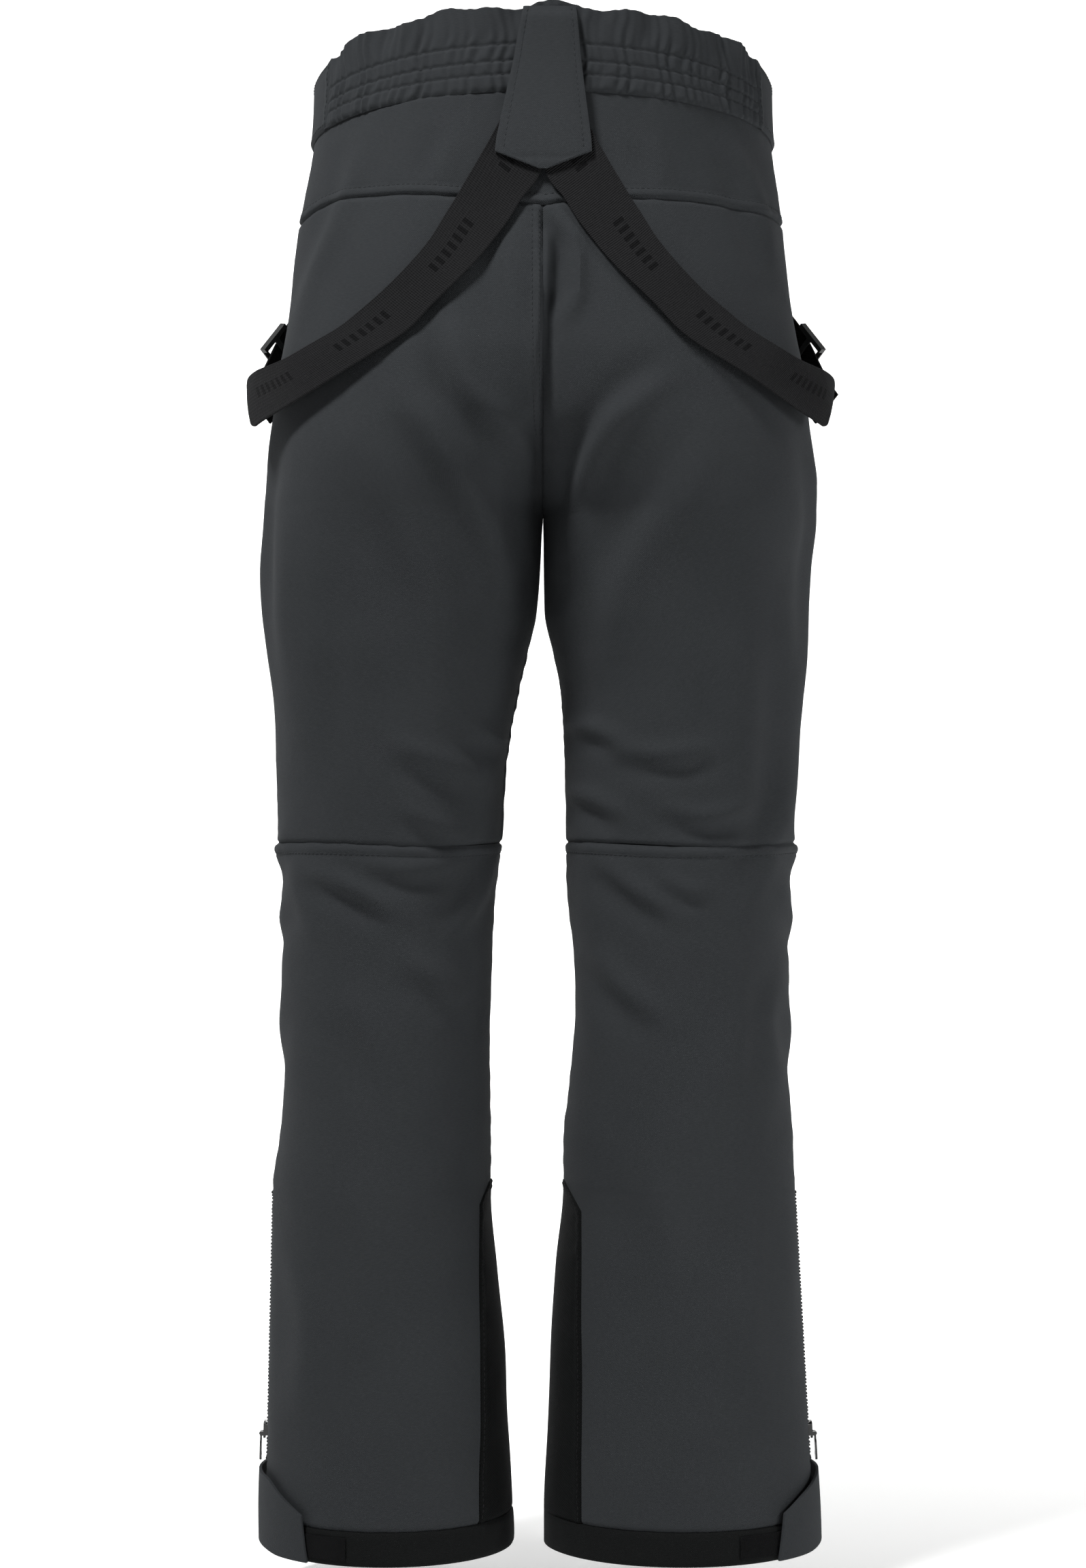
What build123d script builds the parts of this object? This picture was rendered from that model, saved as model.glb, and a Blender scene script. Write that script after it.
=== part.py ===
from build123d import *

import os
from math import acos, asin, cos, degrees, radians, sin

os.makedirs("parts", exist_ok=True)

# Ski pants, in millimetres. +X is the wearer's right, +Y the wearer's front, +Z up.
# The origin is the centre of the waist opening, level with the rim at the side seams.
# Soft pieces are layers of cloth between two distances from the outer face of one half.

# ---------------------------------------------------------------- driving sizes
FABRIC = 3.0            # padded outer fabric
LINING = 1.0            # smooth inner lining
BAND_OUT = 2.0          # how far the waistband stands proud of the hips
BAND_FACE = 2.8         # outer part of the waistband, in front of its elastic
YOKE_SEAM = -92.0
KNEE_SEAM = -540.0
HEM_TOP = -1018.0
HEM_END = -1042.0
SIDE_WRAP = -45.0       # the front waistbands reach back round the hips to this depth

WEB_WIDTH = 30.0        # front webbing of the braces
WEB_THICK = 1.6
STRAP_THICK = 2.0
STRAP_OFF_BACK = 1.5    # strap's distance from the seat
STRAP_OFF_SIDE = 18.0   # strap's distance from the hip
TAB_THICK = 2.2

SLOT_HALF = 8.0         # half the width of a zip's slot in the fabric
ZIP_SUNK = 1.0          # zip tapes lie this far under the fabric's face
TAPE_THICK = 1.2
TOOTH_PITCH = 5.0
SLIDER_LENGTH = 12.0

GAITER_R = 65.0
GAITER_WALL = 1.0
GAITER_END = -1030.0

FAR = 400.0             # beyond the object on every side
SIGN = {"left": -1, "right": 1}
COLUMNS = 9             # facets round one quarter of the cloth


class Row:
    """One level of a half: an ellipse between its inner and outer edge, tilted by y."""

    def __init__(self, height, left, right, back, front, tilt_back=0.0, tilt_front=0.0):
        """left and right are (inner, outer) distances from the middle; tilts are dz/dy."""
        self.height = height
        self.edges = {"left": left, "right": right}
        self.back, self.front = back, front
        self.tilt_back, self.tilt_front = tilt_back, tilt_front

    def between(self, other, part):
        """The row at a share of the way to another one."""
        def mix(a, b):
            return a + (b - a) * part
        return Row(
            mix(self.height, other.height),
            tuple(mix(a, b) for a, b in zip(self.edges["left"], other.edges["left"])),
            tuple(mix(a, b) for a, b in zip(self.edges["right"], other.edges["right"])),
            mix(self.back, other.back), mix(self.front, other.front),
            mix(self.tilt_back, other.tilt_back), mix(self.tilt_front, other.tilt_front))

    def shape(self, side):
        """Centre and half-width of the ellipse, then centre and half-depth."""
        inner, outer = self.edges[side]
        return (inner + outer) / 2, (outer - inner) / 2, (self.back + self.front) / 2, (self.front - self.back) / 2

    def spot(self, side, angle, wide=0.0, deep=0.0):
        """Point at an angle from the side seam, positive towards the back, let out by wide and deep."""
        middle, half_width, centre, half_depth = self.shape(side)
        x = middle + (half_width + wide) * cos(radians(angle))
        y = centre - (half_depth + deep) * sin(radians(angle))
        tilt = self.tilt_back if y < 0 else self.tilt_front
        return Vector(SIGN[side] * x, y, self.height + tilt * y)

    def side_angle(self, side, deep):
        """Angle of the side seam, where y is 0."""
        _, _, centre, half_depth = self.shape(side)
        return degrees(asin(centre / (half_depth + deep)))

    def depth_angle(self, side, deep, y):
        """Angle of the outer edge where the cloth is at depth y."""
        _, _, centre, half_depth = self.shape(side)
        return degrees(asin((centre - y) / (half_depth + deep)))

    def across_angle(self, side, wide, x):
        """Angle at a distance x from the middle, never past the inner edge."""
        middle, half_width, _, _ = self.shape(side)
        share = (x - middle) / (half_width + wide)
        return degrees(acos(max(-1.0, min(1.0, share))))

    def middle_angle(self, side, wide, deep, face):
        """Angle of the middle seam, or of the inner seam once the legs are apart."""
        inner_seam = 180 - face * self.side_angle(side, deep)
        return min(self.across_angle(side, wide, 0.0), inner_seam)


RIM = Row(0, (-162, 162), (-162, 162), -109, 109, -0.333, -0.2)
BAND_SEAM = Row(-42, (-165, 165), (-165, 165), -112, 110, -0.18, -0.18)
SHAPE = [
    RIM,
    BAND_SEAM,
    Row(YOKE_SEAM, (-173, 173), (-173, 173), -121, 111),
    Row(-150, (-150, 180), (-150, 177), -133, 112.5),
    Row(-205, (-100, 190), (-100, 186), -140, 116),
    Row(-240, (-62, 193), (-60, 189), -140, 115),
    Row(-262, (-32, 195), (-32, 190), -138, 112),
    Row(-285, (-14, 197), (-14, 191), -134, 108),
    Row(-310, (0, 198), (0, 191), -128, 104),
    Row(-374, (5, 199), (1, 187), -114, 98),
    Row(-433, (18, 194), (13, 184), -104, 94),
    Row(KNEE_SEAM, (30, 190), (18, 181), -93, 88),
    Row(-668, (37, 188), (21, 177), -88, 84),
    Row(-786, (38, 194), (15, 181), -88, 84),
    Row(-903, (29, 197), (6, 187), -88, 84),
    Row(HEM_TOP, (22, 199), (0.5, 194), -88, 84),
    Row(HEM_END, (21, 199), (0.5, 195), -88, 84),
]


def rows_between(top, bottom):
    """The rows of the shape between two heights, both ends included."""
    return [row for row in SHAPE if bottom <= row.height <= top]


def row_at(height):
    """The level row at any height."""
    for upper, lower in zip(SHAPE, SHAPE[1:]):
        if lower.height <= height <= upper.height:
            row = upper.between(lower, (upper.height - height) / (upper.height - lower.height))
            row.tilt_back = row.tilt_front = 0.0
            return row
    raise ValueError(height)


# ---------------------------------------------------------------- solids
def block(x0, x1, y0, y1, z0, z1):
    """A box between two corners."""
    return Pos((x0 + x1) / 2, (y0 + y1) / 2, (z0 + z1) / 2) * Box(x1 - x0, y1 - y0, z1 - z0)


def triangle(a, b, c):
    """A flat face through three points, or nothing if two of them meet."""
    if min((a - b).length, (b - c).length, (c - a).length) < 1e-6:
        return []
    return [Face(Wire.make_polygon([a, b, c], close=True))]


def patch(grid):
    """Facets of a grid of points."""
    faces = []
    for above, below in zip(grid, grid[1:]):
        for i in range(len(above) - 1):
            faces += triangle(above[i], above[i + 1], below[i + 1])
            faces += triangle(above[i], below[i + 1], below[i])
    return faces


def slab(outer, inner, ring=False):
    """Closed solid between two grids of points that match row by row."""
    if ring:
        outer = [row + row[:1] for row in outer]
        inner = [row + row[:1] for row in inner]
    faces = patch(outer) + patch(inner)
    for end in (0, -1):
        faces += patch([outer[end], inner[end]])
        if not ring:
            faces += patch([[row[end] for row in outer], [row[end] for row in inner]])
    return Solid(Shell(faces)).fix()


def quarter(side, face, rows, outside, inside):
    """A panel from the side seam to the middle seam; face is 1 for the back, -1 for the front."""
    grids = []
    for out in (outside, inside):
        grid = []
        for row in rows:
            start = face * row.side_angle(side, out)
            end = row.middle_angle(side, out, out, face)
            steps = [start + (end - start) * i / COLUMNS for i in range(COLUMNS + 1)]
            grid.append([row.spot(side, face * step, out, out) for step in steps])
        grids.append(grid)
    return slab(*grids)


def band(side, face, rows, outside, inside):
    """A strip of waistband on one half, from where the front one wraps to, to the middle."""
    grids = []
    for out in (outside, inside):
        grid = []
        for row in rows:
            start = row.depth_angle(side, out, SIDE_WRAP)
            stop = face * row.across_angle(side, out, 0.0)
            grid.append([row.spot(side, start + (stop - start) * i / COLUMNS, out, out)
                         for i in range(COLUMNS + 1)])
        grids.append(grid)
    return slab(*grids)


def turned(side, point, wide):
    """A point as (angle, height); it may already be one, as (("turn", angle), height)."""
    where, height = point
    if isinstance(where, tuple):
        return where[1], height
    return row_at(height).across_angle(side, wide, where), height


def shaped(side, cuts, outside, inside, columns=4, fine=3):
    """A strip of cloth through cuts, each two (x, z) points on the back of one half."""
    grids = []
    for wide, deep in (outside, inside):
        ends = [[turned(side, point, wide) for point in cut] for cut in cuts]
        grid = []
        for step in range(fine * (len(cuts) - 1) + 1):
            index = min(step // fine, len(cuts) - 2)
            share = step / fine - index
            pair = [[a + (b - a) * share for a, b in zip(ends[index][k], ends[index + 1][k])] for k in (0, 1)]
            line = []
            for i in range(columns + 1):
                angle, height = [a + (b - a) * i / columns for a, b in zip(*pair)]
                line.append(row_at(height).spot(side, angle, wide, deep))
            grid.append(line)
        grids.append(grid)
    return slab(*grids)


nodes = {}


def keep(name, *pieces):
    """Store the solids of one node."""
    nodes[name] = [solid for piece in pieces for solid in piece.solids()]


# ---------------------------------------------------------------- zips
class Zip:
    """A straight zip with its tapes, teeth, slider and puller.

    Local axes: X points out of the cloth, Y across the zip, Z up along it.
    """

    def __init__(self, bottom, top, outward, rest, travel):
        """bottom and top are the ends on the cloth's face; rest and travel are along it."""
        bottom, top = Vector(bottom), Vector(top)
        self.along = (top - bottom).normalized()
        across = self.along.cross(Vector(outward)).normalized()
        self.outward = across.cross(self.along).normalized()
        self.length = (top - bottom).length
        start = bottom - self.outward * ZIP_SUNK
        self.place = Plane(origin=start, x_dir=self.outward, z_dir=self.along)
        self.rest = rest
        self.travel = travel

    def put(self, shape):
        """Move a shape from the zip's own axes to its place."""
        return self.place.location * shape

    def slot(self, extra=0.0):
        """The opening cut in the cloth."""
        half = SLOT_HALF + extra
        return self.put(block(-12, 12, -half, half, -extra, self.length + extra))

    def tapes(self):
        """Two woven tapes, one on each side."""
        gap = 0.4
        return [self.put(block(-TAPE_THICK, 0, low, high, 0, self.length))
                for low, high in ((-SLOT_HALF, -gap), (gap, SLOT_HALF))]

    def teeth(self):
        """Moulded teeth from end to end."""
        count = int((self.length - 6) // TOOTH_PITCH)
        tooth = block(0, 1.8, -2.6, 2.6, -1.3, 1.3)
        tooth = chamfer(tooth.edges().filter_by(Axis.Y).group_by(Axis.X)[-1], 0.5)
        first = (self.length - (count - 1) * TOOTH_PITCH) / 2
        return [self.put(Pos(0, 0, first + i * TOOTH_PITCH) * tooth) for i in range(count)]

    def slider(self):
        """Slider: top plate with lips, ears and a pin, and the plate behind the tapes."""
        half = SLIDER_LENGTH / 2
        plate = block(2.3, 3.9, -5, 5, -half, half)
        plate = chamfer(plate.edges().filter_by(Axis.X), 1.5)
        body = plate
        for way in (-1, 1):
            low, high = sorted((way * 3.4, way * 5))
            body += block(0.5, 2.3, low, high, -half + 2, half - 2)
            low, high = sorted((way * 2.4, way * 3.6))
            body += block(3.9, 6.4, low, high, -4.4, -1.6)
        body += Pos(5.6, 0, -3) * Rot(90, 0, 0) * Cylinder(0.7, 7.2)
        behind = block(-3.2, -1.7, -5, 5, -half, half)
        at = Pos(0, 0, self.rest)
        return [self.put(at * body), self.put(at * behind)]

    def puller(self, reach=19.0):
        """Puller: a knuckle on the slider's pin and a flat tag with a grip hole."""
        knuckle = Rot(90, 0, 0) * Cylinder(1.5, 4.0)
        neck = block(-0.6, 0.8, -2.0, 2.0, -5, 0)
        tag = block(-0.6, 0.8, -4, 4, -reach, -4)
        tag = fillet(tag.edges().filter_by(Axis.X), 2.5)
        hole = Pos(0, 0, 4.5 - reach) * Rot(0, 90, 0) * Cylinder(1.5, 6)
        bore = Rot(90, 0, 0) * Cylinder(0.85, 9)
        return self.put(Pos(5.6, 0, self.rest - 3) * (knuckle + neck + tag - hole - bore))

    def pin(self):
        """Point and axis of the puller's pin."""
        return self.place.from_local_coords(Vector(5.6, 0, self.rest - 3)), self.place.y_dir

    def backing(self, half, near, far):
        """A channel of cloth behind the zip, open towards it."""
        outer = block(-far, -near, -half, half, 0, self.length)
        return self.put(outer - block(-far + 1.2, 0, -half + 1.2, half - 1.2, -5, self.length + 5))


LEG_ZIP_TOP = -790.0
LEG_ZIP_END = -984.0
leg_zips = {}
pocket_zips = {}
for side, sign in SIGN.items():
    ends = [(sign * row_at(height).edges[side][1], -2, height) for height in (LEG_ZIP_END, LEG_ZIP_TOP)]
    leg_zips[side] = Zip(*ends, (sign, 0, 0), rest=22.0, travel=150.0)
    low = row_at(-212).spot(side, -57)
    high = row_at(-86).spot(side, -64)
    pocket_zips[side] = Zip(low, high, (sign * 0.38, 0.92, 0), rest=110.0, travel=85.0)
fly_low = row_at(-206).spot("right", -row_at(-206).across_angle("right", 0, 0))
fly_high = row_at(-70).spot("right", -90)
fly_zip = Zip(fly_low, fly_high, (0, 1, 0), rest=122.0, travel=95.0)

# ---------------------------------------------------------------- cloth panels
KICK = {
    "left": [(30, -782), (-38, -782), (-45, -796), (-45, HEM_TOP - 1), (30, HEM_TOP - 1)],
    "right": [(-30, -781), (15, -781), (27, -800), (27, HEM_TOP - 1), (-30, HEM_TOP - 1)],
}
THIGH_BACK = rows_between(YOKE_SEAM, KNEE_SEAM)
THIGH_FRONT = rows_between(BAND_SEAM.height, KNEE_SEAM)
CALF = rows_between(KNEE_SEAM, HEM_TOP)
ALL = rows_between(BAND_SEAM.height, HEM_TOP)
for side in SIGN:
    calf_back = quarter(side, 1, CALF, 0, -FABRIC) - leg_zips[side].slot()
    calf_front = quarter(side, -1, CALF, 0, -FABRIC) - leg_zips[side].slot()
    thigh_front = quarter(side, -1, THIGH_FRONT, 0, -FABRIC) - pocket_zips[side].slot() - fly_zip.slot()
    kick_zone = extrude(Plane.XZ * make_face(Polyline(*KICK[side], close=True)), amount=FAR, both=True)
    keep(f"{side}_kick_patch", (calf_back & kick_zone) + (calf_front & kick_zone))
    keep(f"{side}_back_thigh", quarter(side, 1, THIGH_BACK, 0, -FABRIC))
    keep(f"{side}_front_thigh", thigh_front)
    keep(f"{side}_back_calf", calf_back - kick_zone)
    keep(f"{side}_front_calf", calf_front - kick_zone)
    lining_back = quarter(side, 1, ALL, -FABRIC, -FABRIC - LINING) - leg_zips[side].slot(4)
    lining_front = quarter(side, -1, ALL, -FABRIC, -FABRIC - LINING) - leg_zips[side].slot(4)
    lining_front = lining_front - pocket_zips[side].slot(2) - fly_zip.slot(2)
    keep(f"{side}_lining", lining_back + lining_front)
YOKE = rows_between(BAND_SEAM.height, YOKE_SEAM)
keep("back_yoke", quarter("left", 1, YOKE, 0, -FABRIC) + quarter("right", 1, YOKE, 0, -FABRIC))

# ---------------------------------------------------------------- waistband
CHANNELS = ((0.16, 0.29), (0.34, 0.47), (0.52, 0.65))
shares = [0.0, *[edge for channel in CHANNELS for edge in channel], 1.0]
band_rows = [BAND_SEAM.between(RIM, share) for share in shares]
halves = [band(side, 1, band_rows, BAND_OUT, BAND_OUT - BAND_FACE) for side in SIGN]
keep("waistband_back", halves[0] + halves[1])
elastics = []
for channel in CHANNELS:
    strip = [BAND_SEAM.between(RIM, share) for share in channel]
    halves = [band(side, 1, strip, BAND_OUT - BAND_FACE, BAND_OUT - BAND_FACE - 1.6) for side in SIGN]
    elastics.append(halves[0] + halves[1])
keep("waist_elastic", *elastics)
for side in SIGN:
    keep(f"waistband_front_{side}", band(side, -1, band_rows, BAND_OUT, -BAND_FACE))

# ---------------------------------------------------------------- fly and snaps
keep("fly_placket", fly_zip.backing(12, 5.2, 9.2))
keep("fly_zip", *fly_zip.tapes(), *fly_zip.teeth())
keep("fly_slider", *fly_zip.slider())
keep("fly_puller", fly_zip.puller())
SNAP_X = 12.0
SNAP_HEIGHTS = (-33.0, -51.0)
cap = Cylinder(7.0, 1.6) + Pos(0, 0, 1.2) * Cylinder(5.2, 0.8)
post = Cylinder(6.0, 1.2) + Pos(0, 0, 0.9) * Cylinder(3.0, 0.6)
front_face = Rot(-90, 0, 0)
keep("snap_caps", *[Pos(SNAP_X, 112.6, z) * front_face * cap for z in SNAP_HEIGHTS])
keep("snap_posts", *[Pos(SNAP_X, 104.0, z) * front_face * post for z in SNAP_HEIGHTS])

# ---------------------------------------------------------------- pockets
BAG_ROWS = [row_at(height) for height in (-74, -92, -150, -205, -235)]
BAG_ANGLES = (-42, -50, -58, -66, -74)
BAG_GAP = 9.0           # room behind the fabric for the pocket zip's slider
BAG_THICK = 1.4
bags = []
for side in SIGN:
    pocket = pocket_zips[side]
    keep(f"{side}_pocket_zip", *pocket.tapes(), *pocket.teeth())
    keep(f"{side}_pocket_slider", *pocket.slider())
    keep(f"{side}_pocket_puller", pocket.puller())
    bags.append(slab(*[[[row.spot(side, angle, out, out) for angle in BAG_ANGLES] for row in BAG_ROWS]
                       for out in (-BAG_GAP, -BAG_GAP - BAG_THICK)]))
keep("pocket_bags", *bags)

# ---------------------------------------------------------------- leg zips and hems
HEM_TAB_CUTS = [  # (angle or distance from the middle, height) of the top and the bottom edge
    ((("turn", -16), -988), (("turn", -16), -1036)),
    ((("turn", 0), -988), (("turn", 0), -1038)),
    ((192, -989), (192, -1040)),
    ((180, -999), (181, -1041.5)),
    ((166, -1009), (162, -1041.5)),
]
LOOP_CUTS = [((186, -1022), (186, -1038)), ((170, -1022), (170, -1038)), ((154, -1022), (154, -1038)),
             ((137, -1022), (137, -1038))]
HOOK_CUTS = [((190, -1020), (190, -1037)), ((181, -1018), (181, -1039)), ((168, -1018), (166, -1039))]
for side in SIGN:
    leg_zip = leg_zips[side]
    keep(f"{side}_leg_gusset", leg_zip.backing(11, 5.2, 9.2))
    keep(f"{side}_leg_zip_tapes", *leg_zip.tapes())
    keep(f"{side}_leg_zip_teeth", *leg_zip.teeth())
    keep(f"{side}_leg_slider", *leg_zip.slider())
    keep(f"{side}_leg_puller", leg_zip.puller())
    hem_rows = rows_between(HEM_TOP, HEM_END)
    keep(f"{side}_hem_band", quarter(side, 1, hem_rows, 0.4, -FABRIC) + quarter(side, -1, hem_rows, 0.4, -FABRIC))
    keep(f"{side}_loop_patch", shaped(side, LOOP_CUTS, (1.6, 1.6), (0.6, 0.6)))
    keep(f"{side}_hook_patch", shaped(side, HOOK_CUTS, (3.0, 3.0), (2.1, 2.1)))
    keep(f"{side}_hem_tab", shaped(side, HEM_TAB_CUTS, (5.4, 5.4), (3.2, 3.2)))

# ---------------------------------------------------------------- inner gaiters
GAITER_COLUMNS = 24
GAITER_TOP = ((-830, -5.4), (-850, -12.0))      # height, then distance from the outer face
GAITER_CUFF = -1005
elastic_rings, hooks = [], []
for side, sign in SIGN.items():
    low_inner, low_outer = SHAPE[-1].edges[side]
    centre = sign * (low_inner + low_outer) / 2
    turns = [360 * i / GAITER_COLUMNS for i in range(GAITER_COLUMNS)]
    grids = []
    for wall in (0.0, GAITER_WALL):
        grid = [[row_at(height).spot(side, turn, gap - wall, gap - wall) for turn in turns]
                for height, gap in GAITER_TOP]
        for height in (GAITER_CUFF, GAITER_END):
            radius = GAITER_R - wall
            grid.append([Vector(centre + sign * radius * cos(radians(turn)), -2 - radius * sin(radians(turn)), height)
                         for turn in turns])
        grids.append(grid)
    gusset_room = leg_zips[side].put(block(-10.8, 0, -12.5, 12.5, -5, 200))
    keep(f"{side}_gaiter", slab(*grids, ring=True) - gusset_room)
    ring = Cylinder(GAITER_R - 2.0, 14) - Cylinder(GAITER_R - 3.4, 14)
    elastic_rings.append(Pos(centre, -2, GAITER_END + 9) * ring)
    stem = block(-5, 5, 0, 1.2, 1, 14)
    bend = block(-5, 5, 0, 4.6, -0.2, 1)
    tip = block(-5, 5, 3.4, 4.6, 1, 9)
    hooks.append(Pos(centre, GAITER_R - 1.8, GAITER_END) * (stem + bend + tip))
keep("gaiter_elastics", *elastic_rings)
keep("boot_hooks", *hooks)

# ---------------------------------------------------------------- braces
STRAP_NEAR = (STRAP_OFF_SIDE, STRAP_OFF_BACK)
STRAP_FAR = (STRAP_OFF_SIDE + STRAP_THICK, STRAP_OFF_BACK + STRAP_THICK)
TAB_NEAR = (STRAP_FAR[1] + 1.0, STRAP_FAR[1] + 1.0)
TAB_FAR = (TAB_NEAR[0] + TAB_THICK, TAB_NEAR[1] + TAB_THICK)
STRAP_END = [((20, -62), (1, -80)), ((36, -70), (11, -97))]
STRAP_CUTS = [
    ((49, -87), (22, -114)),
    ((58, -104), (34, -131)),
    ((69, -124), (43, -143)),
    ((94, -155), (69, -171)),
    ((113, -172), (87, -190)),
    ((132, -187), (108, -205)),
    ((163, -203), (146, -229)),
    ((("turn", 14), -208), (("turn", 20), -243)),
    ((("turn", 2), -209), (("turn", 4), -246)),
    ((("turn", -10), -210), (("turn", -10), -246)),
]
WEB_START = (110.0, 98.0, -72.0)
WEB_END = (217.0, 19.0, -226.0)
WEB_FREE = 10.0         # the free webbing starts this far below its sewn end
ANCHOR_ANGLES = (-46, -51, -56, -61)
ANCHOR_SHARES = (0.2, 0.7)                      # of the waistband's height
ADJUSTER_AT = 148.0
ADJUSTER_LENGTH = 27.0


def web_plane(side):
    """Plane of the straight front webbing: X out of the cloth, Z from hip to waist."""
    mirror = SIGN[side]
    start = Vector(mirror * WEB_START[0], *WEB_START[1:])
    end = Vector(mirror * WEB_END[0], *WEB_END[1:])
    up = (start - end).normalized()
    out = Vector(mirror * 0.78, 0.63, 0)
    out = (out - up * out.dot(up)).normalized()
    return Plane(origin=start, x_dir=out, z_dir=up), (start - end).length


def adjuster():
    """Moulded frame that the webbing is threaded through: two end bars over, one bar under."""
    rail, half = 15.7, ADJUSTER_LENGTH / 2
    frame = block(-2.6, 2.6, rail, rail + 3.6, -half, half) + block(-2.6, 2.6, -rail - 3.6, -rail, -half, half)
    frame += block(1.2, 2.6, -rail, rail, half - 4, half)
    frame += block(1.2, 2.6, -rail, rail, -half, -half + 4)
    frame += block(-2.6, -1.2, -rail, rail, -2, 2)
    return frame


# Height of the back tab's edges and how far they reach to the left and the right.
TAB_OUTLINE = ((33, -14, 23), (0, -20, 26), (-32, -27, 30), (-64, -33, 33.5), (-77, -5, 5))
tab_grids = []
for wide, deep in (TAB_FAR, TAB_NEAR):
    grid = []
    for height, left_x, right_x in TAB_OUTLINE:
        line = []
        for i in range(7):
            x = left_x + (right_x - left_x) * i / 6
            row = RIM if height > 0 else row_at(height)
            spot = row.spot("right", row.across_angle("right", wide, x), wide, deep)
            line.append(Vector(spot.X, spot.Y, height))
        grid.append(line)
    tab_grids.append(grid)
keep("brace_tab", slab(*tab_grids))

sewn = []
for side in SIGN:
    keep(f"{side}_brace_strap", shaped(side, STRAP_CUTS, STRAP_FAR, STRAP_NEAR))
    sewn.append(shaped(side, STRAP_END, STRAP_FAR, STRAP_NEAR))
    anchor_rows = [BAND_SEAM.between(RIM, share) for share in ANCHOR_SHARES]
    sewn.append(slab(*[[[row.spot(side, angle, out, out) for angle in ANCHOR_ANGLES] for row in anchor_rows]
                       for out in (BAND_OUT + 0.3 + WEB_THICK, BAND_OUT + 0.3)]))
    plane, web_length = web_plane(side)
    web = block(-WEB_THICK / 2, WEB_THICK / 2, -WEB_WIDTH / 2, WEB_WIDTH / 2, -web_length, -WEB_FREE)
    keep(f"{side}_front_webbing", plane.location * web)
    keep(f"{side}_adjuster", plane.location * Pos(0, 0, -ADJUSTER_AT) * adjuster())
keep("brace_anchors", *sewn)

# ---------------------------------------------------------------- files and joint data
for name, solids in nodes.items():
    export_step(Compound(children=solids) if len(solids) > 1 else solids[0], f"parts/{name}.step")
print(len(nodes), "nodes")
zips = {"fly": fly_zip, **{f"{s}_leg": leg_zips[s] for s in SIGN}, **{f"{s}_pocket": pocket_zips[s] for s in SIGN}}
for label, item in zips.items():
    point, axis = item.pin()
    print(label, "along", tuple(item.along), "pin", tuple(point), "pin axis", tuple(axis), "travel", item.travel)
for side in SIGN:
    plane, web_length = web_plane(side)
    print(side, "webbing up", tuple(plane.z_dir), "length", web_length)
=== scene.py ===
"""Looks of a pair of insulated ski pants with braces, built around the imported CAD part.

Tables are in millimetres and meshes in metres. +X is right as seen from behind, -Y is the back
of the pants and +Z is up. The cloth is laid on one smooth form, cut along the real seams, and
lifted by folds, seam grooves and gathers.
"""

import logging
import math
from dataclasses import dataclass, field
from enum import Enum
from typing import Callable, Optional, Sequence

import bpy
import numpy as np
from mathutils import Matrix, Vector


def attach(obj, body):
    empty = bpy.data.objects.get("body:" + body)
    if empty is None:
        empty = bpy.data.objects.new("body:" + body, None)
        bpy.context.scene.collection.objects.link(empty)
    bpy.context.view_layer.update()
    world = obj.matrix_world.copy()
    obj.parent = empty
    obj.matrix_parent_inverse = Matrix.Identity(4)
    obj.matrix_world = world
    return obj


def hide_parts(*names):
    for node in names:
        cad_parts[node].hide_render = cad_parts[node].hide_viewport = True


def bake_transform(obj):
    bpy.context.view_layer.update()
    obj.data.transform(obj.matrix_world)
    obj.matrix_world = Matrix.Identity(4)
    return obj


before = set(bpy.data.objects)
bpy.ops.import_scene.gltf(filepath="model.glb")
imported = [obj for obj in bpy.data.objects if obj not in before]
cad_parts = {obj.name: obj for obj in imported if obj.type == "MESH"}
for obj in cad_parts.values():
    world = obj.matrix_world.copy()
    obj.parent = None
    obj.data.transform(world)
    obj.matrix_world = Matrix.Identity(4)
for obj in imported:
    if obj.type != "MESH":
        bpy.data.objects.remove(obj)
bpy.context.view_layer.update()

logging.basicConfig(level=logging.INFO, format="%(message)s")
log = logging.getLogger("ski_pants")

MM = 0.001
PANTS = "pants"

# Heights of the main seams and zips, from the origin at the front rim.
BAND_SEAM = -42.0
KNEE_SEAM = -540.0
HEM_TOP, HEM_END = -1018.0, -1042.0
LEG_ZIP = (-984.0, -790.0)
POCKET_ZIP = (-212.0, -86.0)
FLY_ZIP = (-206.0, -70.0)
# Angles of a pocket zip's lower and upper end, in degrees from the side.
POCKET_TURN = (57.0, 64.0)


class Side(Enum):
    """Half of the pants, as seen from behind."""

    LEFT = -1
    RIGHT = 1

    @property
    def label(self) -> str:
        """Name of the side in the names of nodes and bodies."""
        return self.name.lower()


class Face(Enum):
    """Which way a panel or a fold faces."""

    BACK = 1
    FRONT = -1
    SIDE = 0


class Seam(Enum):
    """How the edge of a panel is sewn."""

    PLAIN = 1
    STITCHED = 2


# ---------------------------------------------------------------- numbers and curves
def smoothstep(value: np.ndarray, low: float, high: float) -> np.ndarray:
    """Share that goes smoothly from 0 at low to 1 at high."""
    share = np.clip((value - low) / (high - low), 0.0, 1.0)
    return share * share * (3 - 2 * share)


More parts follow.
